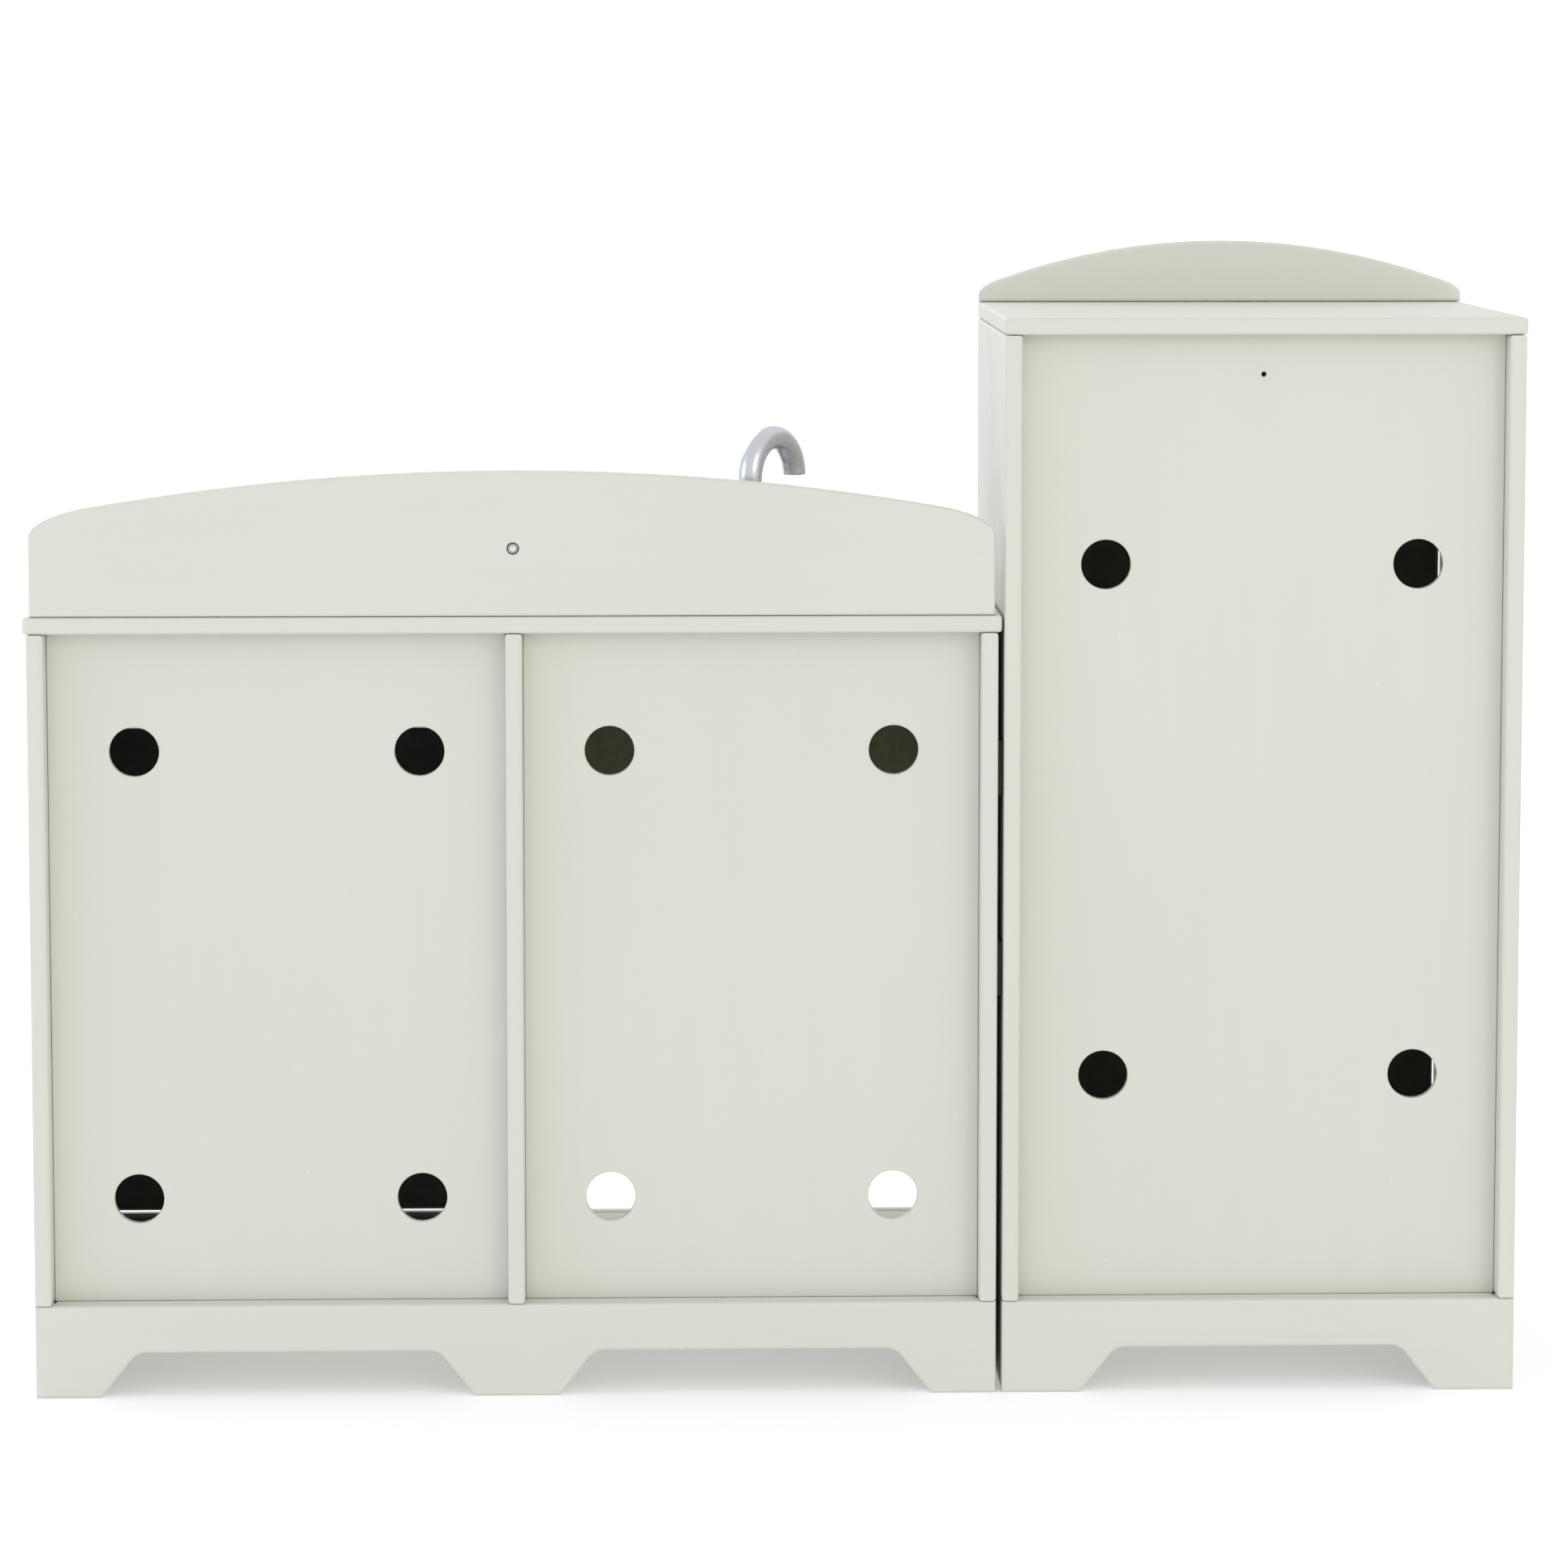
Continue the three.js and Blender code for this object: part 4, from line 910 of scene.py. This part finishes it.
def make_burner(node):
    """A drip ring with a spiral element and a centre cap."""
    low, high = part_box(node)
    centre = (low + high) / 2
    radius = (high.x - low.x) / 2 / MM
    place = placed((centre.x, centre.y, low.z))
    rim = [
        (0, 0), (radius, 0), (radius, 1.4), (radius - 1.6, 2.6), (radius - 4.2, 2.4),
        (radius - 6.4, 0.9), (0, 0.7),
    ]
    dish = turned(rounded_corners(rim, 0.6, 3), 72)
    piece(f"{node}_ring", moved(dish, *place), LOOKS["burner"], "cabinet", [node])
    coil = swept(coil_path(radius), COIL_RADIUS, 12, flatten=COIL_FLATTEN)
    cap = turned(rounded_corners(BURNER_CAP, 0.5, 3), 40)
    bm = moved(joined(coil, cap), *place)
    piece(f"{node}_coil", bm, LOOKS["coil"], "cabinet")


def make_rack():
    """A wire rack: a bent rim, two stretchers and rods welded on top."""
    low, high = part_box("oven_rack")
    centre = (low + high) / 2
    width, run = high.x - low.x - 2 * RACK_MARGIN, high.y - low.y - 2 * RACK_MARGIN
    rim_z = low.z + RIM_RADIUS
    rim = [Vector((x, y, rim_z)) for x, y in box_outline(width, run, RACK_CORNER, 6)]
    parts = [swept(rim, RIM_RADIUS, 12, closed=True)]
    half_run = run / 2 - 0.4 * MM
    for k in range(RACK_RODS):
        x = (width / 2 - RACK_ROD_MARGIN) * (2 * k / (RACK_RODS - 1) - 1)
        rod = [Vector((x, share * half_run, rim_z + RIM_RADIUS)) for share in ROD_RINGS]
        parts.append(swept(rod, ROD_RADIUS, 10))
    for y in (-run / 5, run / 5):
        stretcher = [Vector((share * width / 2, y, rim_z)) for share in ROD_RINGS]
        parts.append(swept(stretcher, RIM_RADIUS * 0.85, 10))
    bm = moved(joined(*parts), shift(centre.x, centre.y))
    piece("rack_wires", bm, LOOKS["steel"], "cabinet", ["oven_rack"])


def make_oven_window_trim():
    """The bead round the opening in front, and the frame behind the pane."""
    low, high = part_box("oven_window")
    centre = (low + high) / 2
    width, height = high.x - low.x, high.z - low.z
    opening = box_outline(width - 2 * WINDOW_LAP, height - 2 * WINDOW_LAP, WINDOW_CORNER, 8)
    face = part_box("oven_door")[0].y
    path = [Vector((centre.x + x, face - 0.2 * MM, centre.z + z)) for x, z in opening]
    bead = swept(path, BEAD_RADIUS, 14, closed=True)
    piece("window_bead", bead, LOOKS["satin"], "oven_door")
    make_window_frame(Vector((centre.x, high.y, centre.z)), width, height, opening)


def make_window_frame(place, width, height, opening):
    """The flat frame that holds the pane from inside the oven, and its screws."""
    outer = box_outline(width, height, FRAME_CORNER, 8)
    bm = bmesh.new()
    rings = []
    for outline, depth in ((outer, 0), (outer, FRAME_THICKNESS), (opening, FRAME_THICKNESS), (opening, 0)):
        rings.append([bm.verts.new(place + Vector((x, depth, z))) for x, z in outline])
    bridge_all(bm, rings, closed=True)
    piece("window_frame", bm, LOOKS["charcoal"], "oven_door")
    reach_x, reach_z = (width - WINDOW_LAP) / 2 - 3 * MM, (height - WINDOW_LAP) / 2
    spots = []
    for x in (-reach_x, 0, reach_x):
        for z in (-reach_z, reach_z):
            spots.append(place + Vector((x, FRAME_THICKNESS, z)))
    screws("window_screws", spots, Y, "oven_door", WINDOW_SCREW_RADIUS)


# ---------------------------------------------------------------- clock

DIAL_RADIUS = 40.0
DIAL_BORE = 3.2
DIAL_THICKNESS = 0.45
CLOCK_RIM = [(0, 0), (3.4, 0), (3.0, 2.6), (1.2, 3.6), (0, 2.8)]
# The length and width of a tick.
HOUR_TICK, MINUTE_TICK = (6.0, 1.6), (2.4, 0.6)
TICK_MARGIN = 3.0
BOLT_HEAD = [(0, 0), (2.6, 0), (4.4, 1.2), (4.4, 2.4), (2.4, 2.5)]
# These are measured from the bolt's rear end.
BOLT_END = [(2.4, -0.2), (1.9, 0), (0, 0)]
BOLT_NUT = [(2.5, -1.4), (3.6, -1.4), (3.6, -0.6), (3.1, -0.1), (2.7, -0.6)]
# A painted shade: a black cup washer that darkens the recess round the nut.
BOLT_SHADE_WASHER = [(2.9, -1.75), (4.15, -1.75), (4.15, -0.5), (3.9, -0.4), (3.9, -1.5), (2.9, -1.5)]


def make_clock():
    """A dial with a rim and printed ticks in front of the backsplash, and the hands' bolt."""
    centre = middle("clock_bolt")
    stand = placed((centre.x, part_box("backsplash")[0].y, centre.z), TO_FRONT)
    corners = [(DIAL_BORE, 0), (DIAL_RADIUS, 0), (DIAL_RADIUS, DIAL_THICKNESS), (DIAL_BORE, DIAL_THICKNESS)]
    dial = turned(rounded_corners(corners, 0.1, 2, closed=True), 96, closed=True)
    piece("clock_dial", moved(dial, *stand), LOOKS["white_print"], "cabinet")
    corners = [(DIAL_RADIUS + r, h) for r, h in CLOCK_RIM]
    rim = turned(rounded_corners(corners, 0.7, 4, closed=True), 96, closed=True)
    piece("clock_rim", moved(rim, *stand), LOOKS["satin"], "cabinet")
    ticks = []
    for k in range(60):
        long, wide = HOUR_TICK if k % 5 == 0 else MINUTE_TICK
        tick = slab(box_outline(wide, long, 0.2, 2), 0.4, 0.58)
        reach = DIAL_RADIUS - TICK_MARGIN - long / 2
        ticks.append(moved(tick, shift(0, reach), turn(-k * WHOLE_TURN / 60, "Z")))
    piece("clock_ticks", moved(joined(*ticks), *stand), LOOKS["grey_print"], "cabinet")
    make_clock_bolt(centre)


def make_clock_bolt(centre):
    """The bolt the hands turn on: a domed head in front, a round nut behind, and a black washer in the recess
    round the nut that is a painted shade.
    """
    low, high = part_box("clock_bolt")
    length = (high.y - low.y) / MM
    stand = placed((centre.x, low.y, centre.z), TO_REAR)

    def from_end(points):
        return [(radius, length + height) for radius, height in points]

    shaft = turned(rounded_corners(BOLT_HEAD + from_end(BOLT_END), 0.4, 3), 48)
    nut = turned(rounded_corners(from_end(BOLT_NUT), 0.2, 3, closed=True), 48, closed=True)
    bm = moved(joined(shaft, nut), *stand)
    piece("clock_shaft", bm, LOOKS["bright"], "cabinet", ["clock_bolt"])
    # Painted shade: the black washer darkens the recess round the nut.
    washer = turned(rounded_corners(from_end(BOLT_SHADE_WASHER), 0.1, 2, closed=True), 48, closed=True)
    piece("clock_shade_washer", moved(washer, *stand), LOOKS["charcoal"], "cabinet")


# ---------------------------------------------------------------- magnet catches

CATCH_INSET = 60 * MM
CATCH_SETBACK = 9.2 * MM
KEEPER_DROP = 5 * MM
POLE_PLACES = (-6.9, -4.2)


def make_catch(name, place, body, door_back):
    """A magnet catch: a block with two pole plates under a board, and a keeper on the door."""
    block = slab(box_outline(30, 13, 2, 4), -9, 0, 0.8, 3)
    poles = []
    for y in POLE_PLACES:
        plate = slab(box_outline(24, 1.6, 0.4, 2), -8.0, -1.4, 0.2, 2)
        poles.append(moved(plate, shift(0, y)))
    stand = placed(place)
    piece(f"{name}_magnet", moved(block, *stand), LOOKS["charcoal"], "cabinet")
    piece(f"{name}_poles", moved(joined(*poles), *stand), LOOKS["steel"], "cabinet")
    keeper = slab(box_outline(28, 9, 1.5, 4), 0, 1.0, 0.3, 3)
    keeper = moved(keeper, *placed((place.x, door_back, place.z - KEEPER_DROP), TO_REAR))
    piece(f"{name}_keeper", keeper, LOOKS["steel"], body)


def make_catches():
    """One catch for each fridge door, near the edge that opens."""
    door_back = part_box("fridge_door")[1].y
    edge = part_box("fridge_door")[1].x - CATCH_INSET
    y = door_back + CATCH_SETBACK
    make_catch("fridge_catch", Vector((edge, y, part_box("freezer_divider")[0].z)), "fridge_door", door_back)
    make_catch("freezer_catch", Vector((edge, y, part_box("fridge_top")[0].z)), "freezer_door", door_back)


# ---------------------------------------------------------------- materials on the CAD nodes

# How far a box of another colour reaches past the faces it takes in.
FACE_MARGIN = 0.4 * MM


def oven_inside():
    """The box of the oven's inside with the faces round it, all but the inner face of its door, where the
    paint turns to a charcoal painted shade.
    """
    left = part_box("kitchen_divider")[1].x - FACE_MARGIN
    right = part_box("kitchen_side_right")[0].x + FACE_MARGIN
    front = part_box("oven_door")[1].y + FACE_MARGIN
    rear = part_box("rear_panel_stove")[0].y + FACE_MARGIN
    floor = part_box("kitchen_base")[1].z - FACE_MARGIN
    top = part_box("countertop")[0].z + FACE_MARGIN
    return (left, front, floor), (right, rear, top)


def apron_back():
    """The rear face of the sink apron, which takes a dark olive painted shade."""
    low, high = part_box("sink_apron")
    return (low.x, high.y - FACE_MARGIN, low.z), (high.x, high.y + FACE_MARGIN, high.z)


def assign(look, *nodes):
    for node in nodes:
        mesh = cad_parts[node].data
        mesh.materials.clear()
        mesh.materials.append(LOOKS[look])


LOOKS = {
    # The upright and long boards take a charcoal painted shade inside the oven.
    "paint_up": paint("paint_up", UPRIGHT_GRAIN, oven_shade_box=oven_inside()),
    "paint_long": paint("paint_long", LONG_GRAIN, oven_shade_box=oven_inside()),
    # The apron's rear face takes a dark olive painted shade.
    "paint_apron": paint("paint_apron", LONG_GRAIN, apron_shade_box=apron_back()),
    "satin": metal("satin_silver", (0.60, 0.61, 0.64), 0.28, (1.0, 1.0, 0.05)),
    "steel": metal("plain_steel", (0.46, 0.46, 0.47), 0.34, NO_GRAIN),
    "bright": metal("bright_steel", (0.72, 0.72, 0.72), 0.16, NO_GRAIN, 0.05),
    "basin": metal("brushed_basin", (0.56, 0.57, 0.58), 0.30, (0.03, 1.0, 1.0), 0.2),
    "gloss_black": plastic("gloss_black", (0.012, 0.012, 0.013), 0.10, 300.0, 0.03, 0.10),
    "burner": plastic("burner_grey", (0.060, 0.060, 0.062), 0.42, 900.0, 0.3),
    "coil": plastic("coil_black", (0.022, 0.021, 0.021), 0.5, 1600.0, 0.5),
    "charcoal": plastic("charcoal_plastic", (0.026, 0.026, 0.027), 0.45),
    "white_print": plastic("white_print", (0.78, 0.78, 0.76), 0.4, 900.0, 0.05),
    "grey_print": plastic("grey_print", (0.07, 0.07, 0.07), 0.5, 900.0, 0.05),
    "red_index": plastic("red_index", (0.42, 0.035, 0.03), 0.3, 900.0, 0.05),
    "blue_index": plastic("blue_index", (0.03, 0.09, 0.36), 0.3, 900.0, 0.05),
    "clear": clear("clear_acrylic"),
    "foam": foam("dark_foam"),
}

LONG_BOARDS = [
    "kitchen_plinth_rear", "kitchen_plinth_front", "fridge_plinth_rear", "fridge_plinth_front",
    "kitchen_base", "fridge_base", "countertop", "backsplash", "fridge_top", "fridge_pediment",
    "control_fascia", "freezer_divider", "fridge_shelf",
]
UPRIGHT_BOARDS = [
    "kitchen_side_left", "kitchen_side_right", "kitchen_divider", "rear_panel_sink", "rear_panel_stove",
    "oven_door", "fridge_side_left", "fridge_side_right", "fridge_rear_panel", "freezer_door", "fridge_door",
    "rack_runner_left", "rack_runner_right",
]
# The short rails of the plinths run from front to rear and have the upright grain.
PLINTH_ENDS = [
    "kitchen_plinth_end_left", "kitchen_plinth_end_right",
    "fridge_plinth_end_left", "fridge_plinth_end_right",
]
HINGE_PINS = ["oven_pin_left", "oven_pin_right", "hinge_pin_bottom", "hinge_pin_middle", "hinge_pin_top"]


def dress_nodes():
    """Gives each CAD node that is carried over its material."""
    assign("paint_long", *LONG_BOARDS)
    assign("paint_up", *UPRIGHT_BOARDS, *PLINTH_ENDS)
    assign("paint_apron", "sink_apron")
    assign("clear", "oven_window")
    assign("charcoal", "clock_hour_hand", "clock_minute_hand")
    assign("foam", "spacer_upper", "spacer_lower")
    assign("steel", *HINGE_PINS)


make_camera()
make_studio()
make_floor()
dress_nodes()
make_spout()
make_faucet_base()
make_tap("tap_left", "red_index")
make_tap("tap_right", "blue_index")
make_basin()
for number in KNOBS:
    make_knob(number)
make_knob_marks()
make_handle("oven_handle", "oven_door", "oven", upright=False)
make_handle("fridge_handle", "fridge_door", "fridge", upright=True)
make_handle("freezer_handle", "freezer_door", "freezer", upright=True)
make_hob()
make_rack()
make_oven_window_trim()
make_clock()
make_catches()
